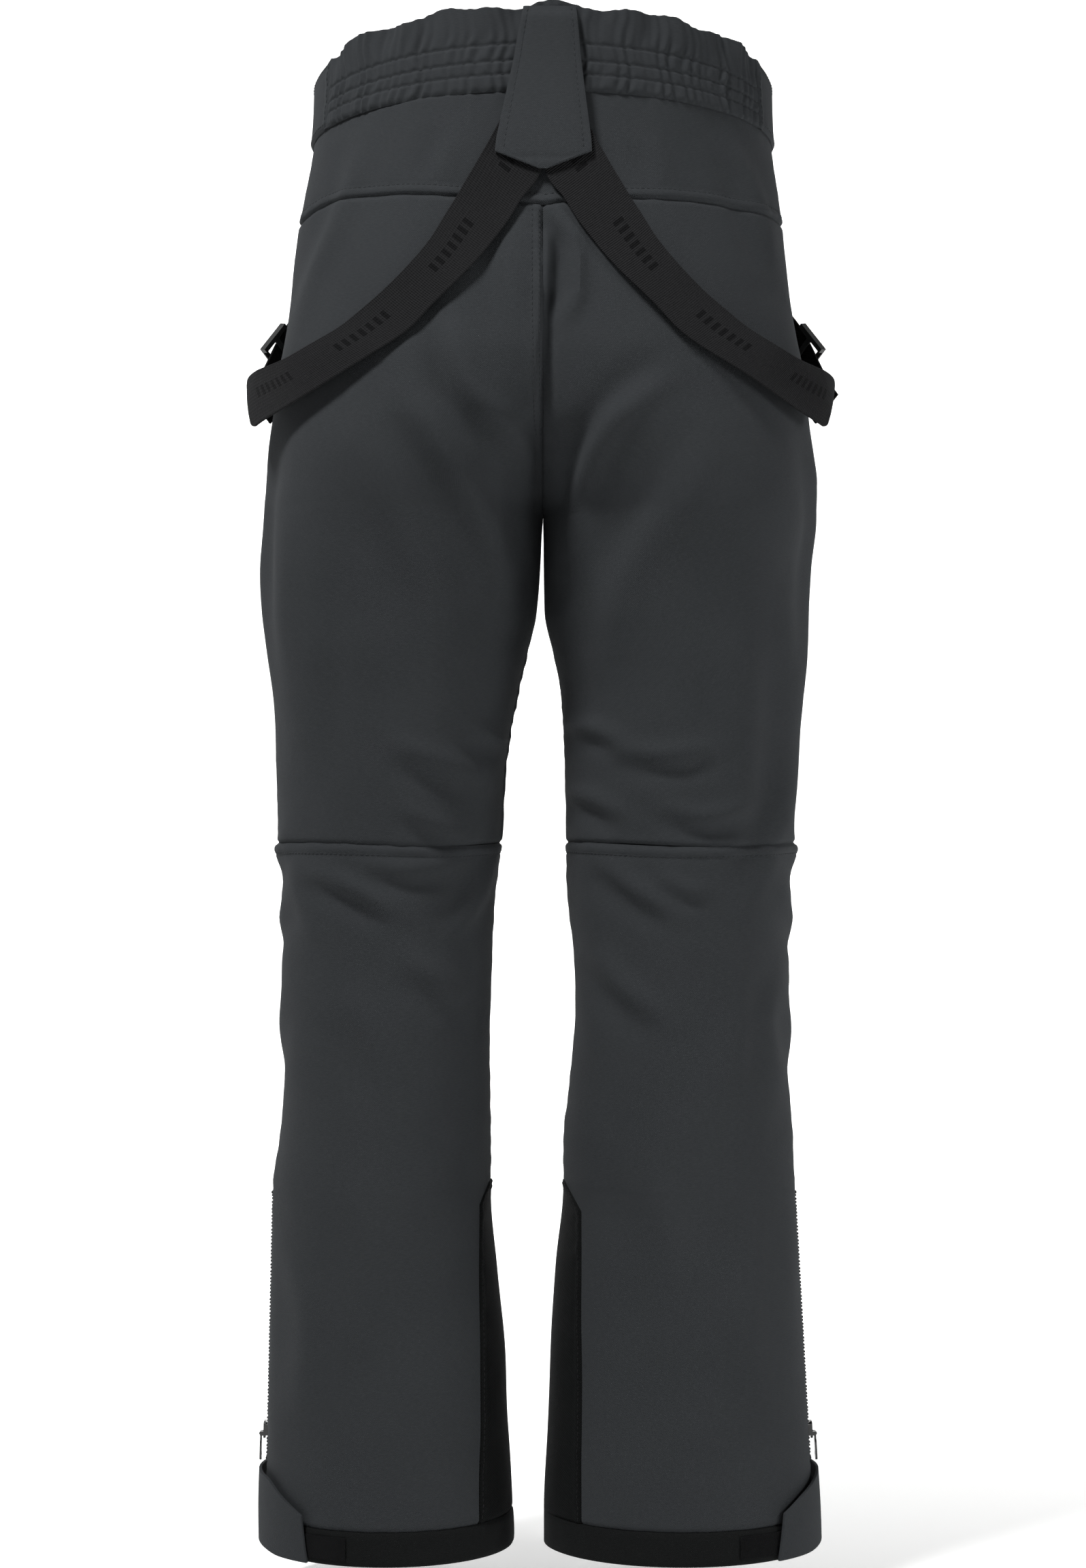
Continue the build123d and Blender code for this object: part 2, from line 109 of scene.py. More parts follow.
def smooth_through(knots: np.ndarray, values: np.ndarray, at: np.ndarray) -> np.ndarray:
    """Cubic through the knots that never overshoots them.

    Args:
        knots: Rising positions.
        values: Value at each knot.
        at: Positions to read.

    Returns:
        The values there, in the shape of at.
    """
    gap = np.diff(knots)
    slope = np.diff(values) / gap
    tangent = np.zeros_like(values)
    same = slope[:-1] * slope[1:] > 0
    before, after = np.where(same, slope[:-1], 1.0), np.where(same, slope[1:], 1.0)
    weight_a, weight_b = 2 * gap[1:] + gap[:-1], gap[1:] + 2 * gap[:-1]
    tangent[1:-1] = np.where(same, (weight_a + weight_b) / (weight_a / before + weight_b / after), 0.0)
    tangent[0], tangent[-1] = slope[0], slope[-1]
    i = np.clip(np.searchsorted(knots, at) - 1, 0, len(knots) - 2)
    t = (at - knots[i]) / gap[i]
    a, b = values[i], values[i + 1]
    start, stop = tangent[i] * gap[i], tangent[i + 1] * gap[i]
    bend = t * t * (3 - 2 * t)
    return a + (b - a) * bend + start * t * (1 - t) ** 2 + stop * t * t * (t - 1)


def curve_through(points: Sequence[Sequence[float]], count: int) -> np.ndarray:
    """Smooth curve through points of any dimension.

    Args:
        points: The points, in order.
        count: How many points to return.

    Returns:
        Array of count points along the curve, evenly spaced by length.
    """
    path = np.array(points, float)
    steps = np.concatenate([[0.0], np.cumsum(np.linalg.norm(np.diff(path, axis=0), axis=1))])
    dense = np.linspace(0, steps[-1], count)
    if len(path) == 2:
        return path[0] + (path[1] - path[0]) * (dense / steps[-1])[:, None]
    return np.stack([smooth_through(steps, path[:, k], dense) for k in range(path.shape[1])], axis=1)


def seam_steps(length: float, step: float, start: bool = True, end: bool = True) -> np.ndarray:
    """Shares from 0 to 1 that lie close together at the sewn ends.

    Args:
        length: Length of the panel, in millimetres.
        step: Spacing away from the seams.
        start: Whether the first end is sewn.
        end: Whether the last end is sewn.

    Returns:
        Rising shares of the length.
    """
    near = np.array([0.0, 0.9, 1.9, 3.1, 4.6, 6.2, 7.8, 9.8])
    head = near if start else np.array([0.0])
    tail = length - (near[::-1] if end else np.array([0.0]))
    room = tail[0] - head[-1]
    count = max(2, int(round(room / step)) + 1)
    middle = np.linspace(head[-1], tail[0], count)[1:-1]
    return np.concatenate([head, middle, tail]) / length


# ---------------------------------------------------------------- the form
LEVELS = (
    # height, left inner and outer, right inner and outer, back, front, back tilt, front tilt
    (0, -162, 162, -162, 162, -109, 109, -0.333, -0.2),
    (-42, -165, 165, -165, 165, -112, 110, -0.18, -0.18),
    (-92, -173, 173, -173, 172, -121, 111, 0, 0),
    (-120, -163, 177, -163, 175, -127, 112, 0, 0),
    (-150, -150, 180.5, -150, 178, -133, 112.5, 0, 0),
    (-180, -127, 185, -127, 182.5, -137, 114.5, 0, 0),
    (-205, -100, 190, -100, 186, -140, 116, 0, 0),
    (-240, -62, 194, -60, 188.5, -140, 115, 0, 0),
    (-262, -32, 196, -32, 190.5, -138, 112, 0, 0),
    (-285, -14, 197, -14, 192.5, -134, 108, 0, 0),
    (-310, 0, 199, 0, 192.5, -128, 104, 0, 0),
    (-345, 2, 201, 0.5, 188.5, -120, 100.5, 0, 0),
    (-374, 4.5, 200, 1, 187, -114, 98, 0, 0),
    (-404, 11, 197, 7, 186, -109, 96, 0, 0),
    (-433, 18, 194, 13, 184, -104, 94, 0, 0),
    (-462, 24, 191.5, 15, 182, -101, 92, 0, 0),
    (-500, 28.5, 190.5, 17, 181, -97, 90, 0, 0),
    (-540, 30, 190, 18, 181, -93, 88, 0, 0),
    (-580, 34, 188.5, 18.5, 180, -91, 86.5, 0, 0),
    (-625, 35.5, 187.5, 21.5, 178.5, -89, 85, 0, 0),
    (-668, 37, 188, 21, 177, -88, 84, 0, 0),
    (-712, 38, 188.5, 18.5, 176.5, -88, 84, 0, 0),
    (-757, 38, 191.5, 15, 179, -88, 84, 0, 0),
    (-786, 38, 194, 15, 181, -88, 84, 0, 0),
    (-845, 34, 195.3, 10, 184.3, -88, 84, 0, 0),
    (-903, 28.5, 196.7, 6, 187.6, -88, 84, 0, 0),
    (-960, 25, 197.9, 3.4, 190.8, -88, 84, 0, 0),
    (-1018, 22, 199, 0.6, 194, -88, 84, 0, 0),
    (-1042, 21, 199, 0.6, 195, -88, 84, 0, 0),
)


@dataclass
class Form:
    """Smooth outer shape: one ellipse for each half, the two cut at the middle above the crotch."""

    levels: Sequence[Sequence[float]] = LEVELS
    middle_ease: float = 14.0

    def __post_init__(self) -> None:
        """Turn the table so that heights rise."""
        table = np.array(self.levels, float)[::-1]
        self.heights = table[:, 0]
        self.table = table[:, 1:]

    def read(self, side: Side, height: np.ndarray) -> tuple[np.ndarray, ...]:
        """Middle, half width, centre, half depth, back tilt and front tilt at some heights."""
        first = 0 if side is Side.LEFT else 2
        columns = (first, first + 1, 4, 5, 6, 7)
        inner, outer, back, front, *tilts = [smooth_through(self.heights, self.table[:, k], height)
                                             for k in columns]
        return (inner + outer) / 2, (outer - inner) / 2, (back + front) / 2, (front - back) / 2, *tilts

    def spot(self, side: Side, height: np.ndarray, angle: np.ndarray, out: np.ndarray = 0.0,
             wide: Optional[float] = None) -> np.ndarray:
        """Points of the form.

        Args:
            side: Which half.
            height: Heights of the rows.
            angle: Radians from the outer edge, positive towards the back.
            out: How far outside the form.
            wide: How far outside it at the sides, if that differs.

        Returns:
            Array of x, y, z in millimetres.
        """
        middle, half_width, centre, half_depth, tilt_back, tilt_front = self.read(side, height)
        sideways = out if wide is None else wide
        y = centre - (half_depth + out) * np.sin(angle)
        plain = middle + half_width * np.cos(angle)
        x = np.maximum(plain + sideways * np.cos(angle) * smoothstep(plain, 0.0, self.middle_ease), 0.0)
        z = height + np.where(y < 0, tilt_back, tilt_front) * y
        return np.stack([x * side.value, y, z + 0 * x], axis=-1)

    def side_angle(self, side: Side, height: np.ndarray, depth: np.ndarray = 0.0) -> np.ndarray:
        """Angle of the outer edge where the cloth is at a depth y."""
        _, _, centre, half_depth, _, _ = self.read(side, height)
        return np.arcsin((centre - depth) / half_depth)

    def across_angle(self, side: Side, height: np.ndarray, distance: np.ndarray) -> np.ndarray:
        """Angle at a distance from the middle plane."""
        middle, half_width, _, _, _, _ = self.read(side, height)
        return np.arccos(np.clip((distance - middle) / half_width, -1.0, 1.0))

    def middle_angle(self, side: Side, face: Face, height: np.ndarray,
                     distance: np.ndarray = 0.0) -> np.ndarray:
        """Angle of the middle seam, or of the inner seam once the legs are apart."""
        inner_seam = math.pi - face.value * self.side_angle(side, height)
        return np.minimum(self.across_angle(side, height, distance), inner_seam)


FORM = Form()


# ---------------------------------------------------------------- folds
FOLD_GAIN = 1.55


@dataclass(frozen=True)
class Fold:
    """A fold of the cloth along a line; points are (x, z), or (y, z) on the side."""

    face: Face
    points: tuple
    rise: float
    width: float

    def lift(self, flat: np.ndarray) -> np.ndarray:
        """How far the fold lifts the cloth.

        Args:
            flat: Points in the plane that the fold is drawn in.

        Returns:
            Millimetres outwards at each point.
        """
        line = curve_through(self.points, 20)
        best = np.full(flat.shape[:-1], 1e9)
        signed, share = np.zeros_like(best), np.zeros_like(best)
        for k, (a, b) in enumerate(zip(line, line[1:])):
            along = b - a
            length = np.linalg.norm(along)
            along = along / length
            t = np.clip((flat - a) @ along, 0, length)
            gap = flat - a - t[..., None] * along
            distance = np.linalg.norm(gap, axis=-1)
            near = distance < best
            best = np.where(near, distance, best)
            way = np.sign(gap[..., 0] * along[1] - gap[..., 1] * along[0])
            signed = np.where(near, way * distance, signed)
            share = np.where(near, (k + t / length) / (len(line) - 1), share)
        taper = np.sin(np.pi * np.clip(share, 0.02, 0.98)) ** 0.7
        crest = np.exp(-((signed / self.width) ** 2))
        hollow = np.exp(-(((signed - 1.9 * self.width) / (1.1 * self.width)) ** 2))
        return FOLD_GAIN * self.rise * taper * (crest - 0.75 * hollow)


BACK_FOLDS = (
    # seat, beside the middle seam
    ((5, -100), (22, -132), (24, -158), (14, -186)), 4.2, 5.5,
    ((10, -128), (7, -170), (4, -214), (3, -250)), -3.4, 5.0,
    ((-14, -104), (-22, -140), (-20, -180), (-12, -220)), 1.7, 9.0,
    ((-66, -178), (-50, -226), (-22, -258), (-5, -285)), 4.6, 9.0,
    ((-92, -232), (-58, -285), (-34, -332), (-25, -376)), 4.2, 10.0,
    ((-120, -262), (-90, -330), (-66, -392), (-58, -430)), 2.4, 13.0,
    ((92, -218), (46, -256), (26, -305), (20, -350)), 4.2, 9.0,
    ((122, -258), (84, -316), (56, -368), (46, -420)), 2.6, 13.0,
    ((-6, -262), (-10, -300), (-13, -345)), 3.0, 7.0,
    ((6, -262), (9, -300), (10, -345)), 2.6, 7.0,
    # from the waistband down to the hips
    ((-126, -48), (-134, -79), (-144, -107), (-160, -140), (-176, -186)), 2.4, 8.0,
    ((130, -48), (144, -70), (153, -95), (167, -140)), 2.4, 8.0,
    ((-60, -50), (-66, -66), (-70, -86)), 1.0, 7.0,
    ((72, -50), (80, -66), (86, -86)), 1.0, 7.0,
    # outer thighs
    ((173, -368), (176, -440), (175, -487), (161, -547), (142, -590)), 3.0, 9.0,
    ((-178, -300), (-182, -380), (-172, -460)), 2.2, 11.0,
    ((-150, -330), (-142, -410), (-148, -500)), -1.6, 12.0,
    ((110, -330), (118, -420), (108, -500)), -1.6, 14.0,
    # behind the knees
    ((-168, -556), (-134, -569), (-98, -590)), 3.2, 6.5,
    ((-126, -552), (-92, -557), (-55, -552)), 2.2, 6.0,
    ((-54, -458), (-40, -464), (-26, -474)), 2.6, 6.0,
    ((-104, -468), (-72, -482), (-40, -496)), 3.0, 8.0,
    ((-98, -512), (-78, -524), (-52, -534)), 2.2, 6.0,
    ((-30, -545), (-44, -575), (-64, -606)), 3.0, 7.0,
    ((-184, -540), (-170, -572), (-158, -612)), 1.5, 8.0,
    ((-94, -616), (-74, -632), (-54, -652)), 2.8, 9.0,
    ((-150, -640), (-120, -668), (-104, -712)), 1.8, 12.0,
    ((14, -454), (36, -459), (58, -470)), 2.6, 6.0,
    ((14, -500), (36, -508), (58, -522)), 2.8, 6.5,
    ((42, -472), (80, -477), (122, -472)), 2.4, 7.0,
    ((80, -512), (112, -520), (146, -512)), 2.4, 6.5,
    ((40, -549), (64, -570), (94, -588)), 3.2, 7.0,
    ((82, -560), (98, -570), (116, -574)), 2.0, 5.5,
    ((36, -612), (58, -640), (86, -662)), 3.2, 9.0,
    ((172, -630), (160, -668), (170, -722)), 1.5, 8.0,
    ((128, -610), (138, -660), (128, -712)), 1.8, 11.0,
    # calves and the break above the hem
    ((-140, -760), (-120, -830), (-126, -905)), 1.8, 14.0,
    ((-176, -820), (-166, -880), (-172, -950)), 1.6, 10.0,
    ((72, -760), (92, -835), (84, -910)), 1.8, 14.0,
    ((150, -800), (142, -870), (152, -940)), 1.8, 11.0,
)

FRONT_FOLDS = (
    ((-6, -214), (-30, -232), (-70, -246), (-118, -248)), 3.4, 8.0,
    ((6, -220), (32, -238), (74, -250), (120, -250)), 3.4, 8.0,
    ((-8, -252), (-40, -282), (-82, -306)), 3.2, 9.0,
    ((8, -256), (40, -286), (84, -312)), 3.2, 9.0,
    ((-16, -292), (-40, -340), (-66, -392)), 2.6, 11.0,
    ((16, -292), (38, -338), (62, -388)), 2.6, 11.0,
    ((-104, -330), (-96, -410), (-108, -490)), 2.2, 14.0,
    ((98, -330), (90, -405), (100, -486)), 2.2, 14.0,
    ((-42, -508), (-96, -528), (-150, -514)), 2.2, 9.0,
    ((34, -504), (90, -526), (142, -512)), 2.2, 9.0,
    ((-46, -584), (-92, -604), (-150, -588)), 2.6, 8.0,
    ((34, -580), (84, -602), (142, -584)), 2.6, 8.0,
    ((-60, -640), (-98, -668), (-130, -676)), 2.0, 10.0,
    ((48, -638), (88, -664), (124, -672)), 2.0, 10.0,
    ((-88, -780), (-112, -850), (-106, -930)), 2.0, 14.0,
    ((76, -780), (98, -850), (90, -930)), 2.0, 14.0,
    ((-130, -880), (-104, -930), (-70, -962)), 2.4, 10.0,
    ((120, -884), (92, -934), (58, -966)), 2.4, 10.0,
)

SIDE_FOLDS = (
    ((40, -120), (20, -190), (30, -280)), 2.0, 12.0,
    ((-50, -230), (-20, -330), (-34, -440)), 2.2, 14.0,
    ((52, -300), (30, -400), (44, -480)), 2.2, 13.0,
    ((-60, -520), (-10, -548), (44, -536)), 1.3, 9.0,
    ((-52, -574), (0, -596), (50, -588)), 1.2, 9.0,
    ((-40, -640), (-4, -676), (40, -700)), 1.1, 12.0,
)


def fold_list(rows: Sequence, face: Face) -> list[Fold]:
    """Folds from a flat table of points, rise and width."""
    return [Fold(face, *rows[i:i + 3]) for i in range(0, len(rows), 3)]


@dataclass
class Drape:
    """How the cloth leaves the form: folds, slow waves, and calm places beside the zips."""

    folds: Sequence[Fold]
    seed: int = 11
    wave_count: int = 16
    shortest: float = 46.0
    longest: float = 190.0
    zip_calm: tuple = (8.0, 44.0)
    hem_calm: tuple = (-996.0, -950.0)
    turn_over: tuple = (2.0, 42.0)
    wave_rise: float = 2.0

    def waves(self, spots: np.ndarray) -> np.ndarray:
        """Slow uneven swell of padded cloth, the same on each run."""
        random = np.random.default_rng(self.seed)
        total = np.zeros(spots.shape[:-1])
        for _ in range(self.wave_count):
            length = random.uniform(self.shortest, self.longest)
            way = random.normal(size=3)
            way /= np.linalg.norm(way)
            phase = random.uniform(0, math.tau)
            total += (length / self.longest) * np.sin(spots @ way * math.tau / length + phase)
        return self.wave_rise * total / math.sqrt(self.wave_count)

    def calm(self, spots: np.ndarray) -> np.ndarray:
        """Share of the folds that is left near zips and hems."""
        share = np.ones(spots.shape[:-1])
        for ends in ZIP_SEGMENTS:
            a, b = np.array(ends, float)
            along = b - a
            t = np.clip(((spots - a) @ along) / (along @ along), 0, 1)
            distance = np.linalg.norm(spots - a - t[..., None] * along, axis=-1)
            share *= smoothstep(distance, *self.zip_calm)
        return share * smoothstep(spots[..., 2], *self.hem_calm)

    def lift(self, spots: np.ndarray, angle: np.ndarray) -> np.ndarray:
        """How far the cloth stands off the form.

        Args:
            spots: Points of the form, in millimetres.
            angle: Their angles from the outer edge.

        Returns:
            Millimetres outwards at each point.
        """
        x, y, z = spots[..., 0], spots[..., 1], spots[..., 2]
        facing = {Face.BACK: smoothstep(-y, *self.turn_over), Face.FRONT: smoothstep(y, *self.turn_over),
                  Face.SIDE: smoothstep(np.cos(angle), 0.35, 0.8)}
        total = self.waves(spots)
        for fold in self.folds:
            flat = np.stack([y if fold.face is Face.SIDE else x, z], axis=-1)
            total += fold.lift(flat) * facing[fold.face]
        return total * self.calm(spots)


def pocket_ends(side: Side) -> list[np.ndarray]:
    """Lower and upper end of a pocket zip on the form."""
    return [FORM.spot(side, np.array(height), np.array(-math.radians(turn)))
            for height, turn in zip(POCKET_ZIP, POCKET_TURN)]


ZIP_SEGMENTS = (
    ((-198.4, -2, LEG_ZIP[0]), (-194.1, -2, LEG_ZIP[1])),
    ((192.0, -2, LEG_ZIP[0]), (181.2, -2, LEG_ZIP[1])),
    pocket_ends(Side.LEFT),
    pocket_ends(Side.RIGHT),
    ((0, 116, FLY_ZIP[0]), (0, 110, FLY_ZIP[1])),
)
DRAPE = Drape(fold_list(BACK_FOLDS, Face.BACK) + fold_list(FRONT_FOLDS, Face.FRONT)
              + fold_list(SIDE_FOLDS, Face.SIDE))


# ---------------------------------------------------------------- materials
def linear(code: str) -> tuple[float, float, float, float]:
    """Linear colour of an sRGB hex value."""
    parts = [int(code[i:i + 2], 16) / 255 for i in (1, 3, 5)]
    return (*[p / 12.92 if p <= 0.04045 else ((p + 0.055) / 1.055) ** 2.4 for p in parts], 1.0)


class Nodes:
    """A material's node tree while it is built."""

    def __init__(self, name: str) -> None:
        """Start an empty material."""
        self.material = bpy.data.materials.new(name)
        self.material.use_nodes = True
        self.tree = self.material.node_tree
        self.tree.nodes.clear()

    def add(self, kind: str, inputs: Optional[dict] = None, **settings) -> bpy.types.Node:
        """Add a node.

        Args:
            kind: Node type, without its prefix.
            inputs: Values or sockets for its inputs, by name or number.
            **settings: Attributes to set on the node.

        Returns:
            The new node.
        """
        node = self.tree.nodes.new("ShaderNode" + kind)
        for key, value in settings.items():
            setattr(node, key, value)
        for key, value in (inputs or {}).items():
            if isinstance(value, bpy.types.NodeSocket):
                self.tree.links.new(value, node.inputs[key])
            else:
                node.inputs[key].default_value = value
        return node

    def math(self, operation: str, *values) -> bpy.types.NodeSocket:
        """Result of one step of arithmetic."""
        return self.add("Math", dict(enumerate(values)), operation=operation).outputs[0]

    def noise(self, place: bpy.types.NodeSocket, scale: float, detail: float,
              roughness: float = 0.5) -> bpy.types.NodeSocket:
        """Noise from 0 to 1."""
        inputs = {"Vector": place, "Scale": scale, "Detail": detail, "Roughness": roughness}
        return self.add("TexNoise", inputs).outputs[0]

    def span(self, value: bpy.types.NodeSocket, low: float, high: float, to_low: float = 0.0,
             to_high: float = 1.0) -> bpy.types.NodeSocket:
        """A value's range stretched to another one."""
        return self.add("MapRange", {0: value, 1: low, 2: high, 3: to_low, 4: to_high}).outputs[0]

    def blend(self, share: bpy.types.NodeSocket, first: object, second: object) -> bpy.types.NodeSocket:
        """Colour between two colours."""
        return self.add("Mix", {0: share, 6: first, 7: second}, data_type="RGBA").outputs[2]

    def done(self, inputs: dict) -> bpy.types.Material:
        """Add the shader and its output, and hand the material over."""
        shader = self.add("BsdfPrincipled", inputs)
        self.add("OutputMaterial", {0: shader.outputs[0]})
        return self.material


class Weave(Enum):
    """How the threads of a cloth cross."""

    PLAIN = 0
    TWILL = 1
    RIBBED = 2
    PILE = 3


@dataclass(frozen=True)
class Cloth:
    """A woven finish. pitch is the distance between threads, in millimetres."""

    name: str
    colour: str
    light: str
    weave: Weave
    pitch: float
    relief: float
    roughness: float = 0.9
    sheen: float = 0.03
    specular: float = 0.05
    dashes: bool = False

    def make(self) -> bpy.types.Material:
        """Build the material from the piece's own UV map, which is in metres on the cut."""
        found = bpy.data.materials.get(self.name)
        if found:
            return found
        nodes = Nodes(self.name)
        place = nodes.add("UVMap", uv_map="cut").outputs[0]
        u, v = nodes.add("SeparateXYZ", {0: place}).outputs[:2]
        threads = self.threads(nodes, u, v)
        stretched = nodes.add("Mapping", {"Vector": place, "Scale": (1.0, 5.5, 1.0)}).outputs[0]
        slub = nodes.noise(stretched, 260.0, 4.0, 0.65)
        fuzz = nodes.noise(place, 1500.0, 2.0)
        cloudy = nodes.noise(place, 9.0, 5.0, 0.6)
        share = nodes.span(nodes.math("MULTIPLY_ADD", cloudy, 0.35, slub), 0.47, 0.88)
        # Random mottle from the cloudy and slub noise, plus painted shade of the weave: the thread crests are
        # painted lighter and the gaps between threads darker.
        shade = nodes.math("MULTIPLY_ADD", threads, 0.12, share)
        colour = nodes.blend(shade, linear(self.colour), linear(self.light))
        if self.dashes:
            colour = self.printed(nodes, u, v, colour)
        fuzzy = 0.8 if self.weave is Weave.PILE else 0.35
        height = nodes.math("MULTIPLY_ADD", slub, 0.9, nodes.math("MULTIPLY_ADD", fuzz, fuzzy, threads))
        bump = nodes.add("Bump", {"Height": height, "Strength": self.relief, "Distance": 0.35 * MM})
        return nodes.done({
            "Base Color": colour, "Roughness": self.roughness, "Specular IOR Level": self.specular,
            "Sheen Weight": self.sheen, "Sheen Roughness": 0.5, "Sheen Tint": (0.6, 0.62, 0.65, 1.0),
            "Normal": bump.outputs[0]})

    def threads(self, nodes: Nodes, u: bpy.types.NodeSocket, v: bpy.types.NodeSocket) -> bpy.types.NodeSocket:
        """Height of the crossing threads, from about -1 to 1."""
        turn = math.tau / (self.pitch * MM)
        if self.weave is Weave.TWILL:
            return self.wave(nodes, nodes.math("ADD", u, v), turn)
        along = self.wave(nodes, v, turn)
        if self.weave is Weave.RIBBED:
            return nodes.math("MULTIPLY_ADD", self.wave(nodes, u, turn * 0.62), 0.3, along)
        return nodes.math("MULTIPLY", self.wave(nodes, u, turn), along)

    @staticmethod
    def wave(nodes: Nodes, value: bpy.types.NodeSocket, turn: float) -> bpy.types.NodeSocket:
        """Threads across one direction, from -1 to 1."""
        return nodes.math("SINE", nodes.math("MULTIPLY", value, turn))

    @staticmethod
    def printed(nodes: Nodes, u: bpy.types.NodeSocket, v: bpy.types.NodeSocket,
                plain: bpy.types.NodeSocket) -> bpy.types.NodeSocket:
        """Colour with groups of plain dark dashes along the middle of the elastic."""
        middle, half_width, strength = 17.0, 4.2, 0.75
        off = nodes.math("ABSOLUTE", nodes.math("SUBTRACT", u, middle * MM))
        inside = nodes.math("LESS_THAN", off, half_width * MM)
        for period, dash in ((85.0, 46.0), (6.6, 3.4)):
            place = nodes.math("FLOORED_MODULO", v, period * MM)
            inside = nodes.math("MULTIPLY", inside, nodes.math("LESS_THAN", place, dash * MM))
        return nodes.blend(nodes.math("MULTIPLY", inside, strength), plain, linear("#0a0a0b"))


@dataclass(frozen=True)
class Hard:
    """A moulded or enamelled finish with fine grain and random rubbed marks."""

    name: str
    colour: str
    light: str
    roughness: float
    grain: float
    specular: float = 0.4
    coat: float = 0.0

    def make(self) -> bpy.types.Material:
        """Build the material on Object coordinates."""
        found = bpy.data.materials.get(self.name)
        if found:
            return found
        nodes = Nodes(self.name)
        place = nodes.add("TexCoord").outputs["Object"]
        grain = nodes.noise(place, 1 / (self.grain * MM), 3.0)
        marks = nodes.noise(place, 160.0, 6.0, 0.7)
        colour = nodes.blend(nodes.span(marks, 0.42, 0.7), linear(self.colour), linear(self.light))
        gloss = nodes.span(marks, 0.3, 0.7, self.roughness - 0.08, self.roughness + 0.1)
        bump = nodes.add("Bump", {"Height": grain, "Strength": 0.25, "Distance": 0.05 * MM})
        return nodes.done({"Base Color": colour, "Roughness": gloss, "Specular IOR Level": self.specular,
                           "Coat Weight": self.coat, "Normal": bump.outputs[0]})


class Finish(Enum):
    """Every finish of the pants."""

    # Matt stretch-woven polyester shell: dark grey, faint crosswise slub, no shine.
    SHELL = Cloth("matt_woven_polyester", "#2b2d2f", "#323436", Weave.PLAIN, 1.3, 0.35)
    # The same cloth gathered on elastic; its colours are the shell's painted a shade darker, painted shade of
    # the gathers.
    BAND = Cloth("gathered_woven_polyester", "#2a2c2e", "#313335", Weave.PLAIN, 1.3, 0.3)
    # Smooth polyester taffeta lining: fine and faintly shiny.
    LINING = Cloth("polyester_taffeta", "#17181a", "#1d1f21", Weave.PLAIN, 1.0, 0.15,
                   roughness=0.55, specular=0.18)
    # Heavy nylon oxford: black, coarse grain, takes the scuffs of ski edges.
    HEAVY = Cloth("nylon_oxford", "#0c0d0d", "#121313", Weave.PLAIN, 1.8, 0.7, roughness=0.85, sheen=0.02)
    # Folded nylon hem: black, finer than the patch.
    HEM = Cloth("nylon_hem_binding", "#101111", "#161717", Weave.PLAIN, 1.3, 0.4, sheen=0.02)
    # Woven rubber elastic: crosswise ribs, flat black-grey.
    ELASTIC = Cloth("woven_rubber_elastic", "#1b1b1c", "#212122", Weave.RIBBED, 1.5, 0.8, sheen=0.02)
    # The braces' elastic, printed with groups of plain dark dashes.
    PRINTED = Cloth("printed_woven_elastic", "#1b1b1c", "#212122", Weave.RIBBED, 1.5, 0.8,
                    sheen=0.02, dashes=True)
    # Nylon webbing for the front of the braces.
    WEBBING = Cloth("nylon_webbing", "#0b0b0c", "#111112", Weave.TWILL, 2.0, 0.7, sheen=0.02)
    # Polyester twill of zip tapes.
    TAPE = Cloth("polyester_twill_tape", "#0d0d0e", "#131314", Weave.TWILL, 1.2, 0.5, sheen=0.02)
    # Nylon loop pile: deep black, eats light.
    LOOP = Cloth("nylon_loop_pile", "#050505", "#0a0a0a", Weave.PILE, 0.9, 1.0, roughness=1.0, sheen=0.05)
    # Nylon hook tape: black, harder and slightly shinier than the loops.
    HOOK = Cloth("nylon_hook_tape", "#070707", "#0d0d0d", Weave.PILE, 1.4, 1.0, roughness=0.6,
                 specular=0.15)
    # Polyester sewing thread: a shade lighter than the shell.
    THREAD = Cloth("polyester_thread", "#26282a", "#303234", Weave.TWILL, 0.5, 0.2, specular=0.12)
    # Black thread on the black parts.
    BLACK_THREAD = Cloth("black_polyester_thread", "#151516", "#1c1c1d", Weave.TWILL, 0.5, 0.2,
                         specular=0.12)
    # Moulded acetal: satin black with the mould's fine texture.
    ACETAL = Hard("moulded_acetal", "#1c1d1d", "#242525", 0.5, 0.5)
    # Moulded zip teeth: harder and darker satin plastic.
    TEETH = Hard("moulded_zip_acetal", "#101011", "#18181a", 0.4, 0.4)
    # Black enamelled zinc: smooth paint, rubbed a little lighter.
    ENAMEL = Hard("black_enamelled_zinc", "#111112", "#1d1d1f", 0.32, 0.7, specular=0.5, coat=0.3)

    def material(self) -> bpy.types.Material:
        """The finish's material, made once."""
        return self.value.make()

    @property
    def slot(self) -> str:
        """Name of the part's material slot that the finish stands for."""
        return SLOTS.get(self.name, "shell_fabric")


# Slots of the finishes that aren't the shell's.
SLOTS = {
    "LINING": "lining_taffeta", "HEAVY": "reinforced_fabric", "HEM": "reinforced_fabric",
    "ELASTIC": "elastic_webbing", "PRINTED": "elastic_webbing", "WEBBING": "elastic_webbing",
    "TAPE": "zip_tape", "TEETH": "zip_teeth", "LOOP": "hook_and_loop", "HOOK": "hook_and_loop",
}


# ---------------------------------------------------------------- meshes
def signed_volume(verts: np.ndarray, quads: np.ndarray) -> float:
    """Volume inside a closed mesh, negative if its faces point inwards."""
    a, b, c, d = (verts[quads[:, k]] for k in range(4))
    first = np.einsum("ij,ij->i", a, np.cross(b, c))
    second = np.einsum("ij,ij->i", a, np.cross(c, d))
    return float((first + second).sum() / 6)


def linked(name: str, data: bpy.types.ID) -> bpy.types.Object:
    """New object of some data, in the scene."""
    new = bpy.data.objects.new(name, data)
    bpy.context.scene.collection.objects.link(new)
    return new


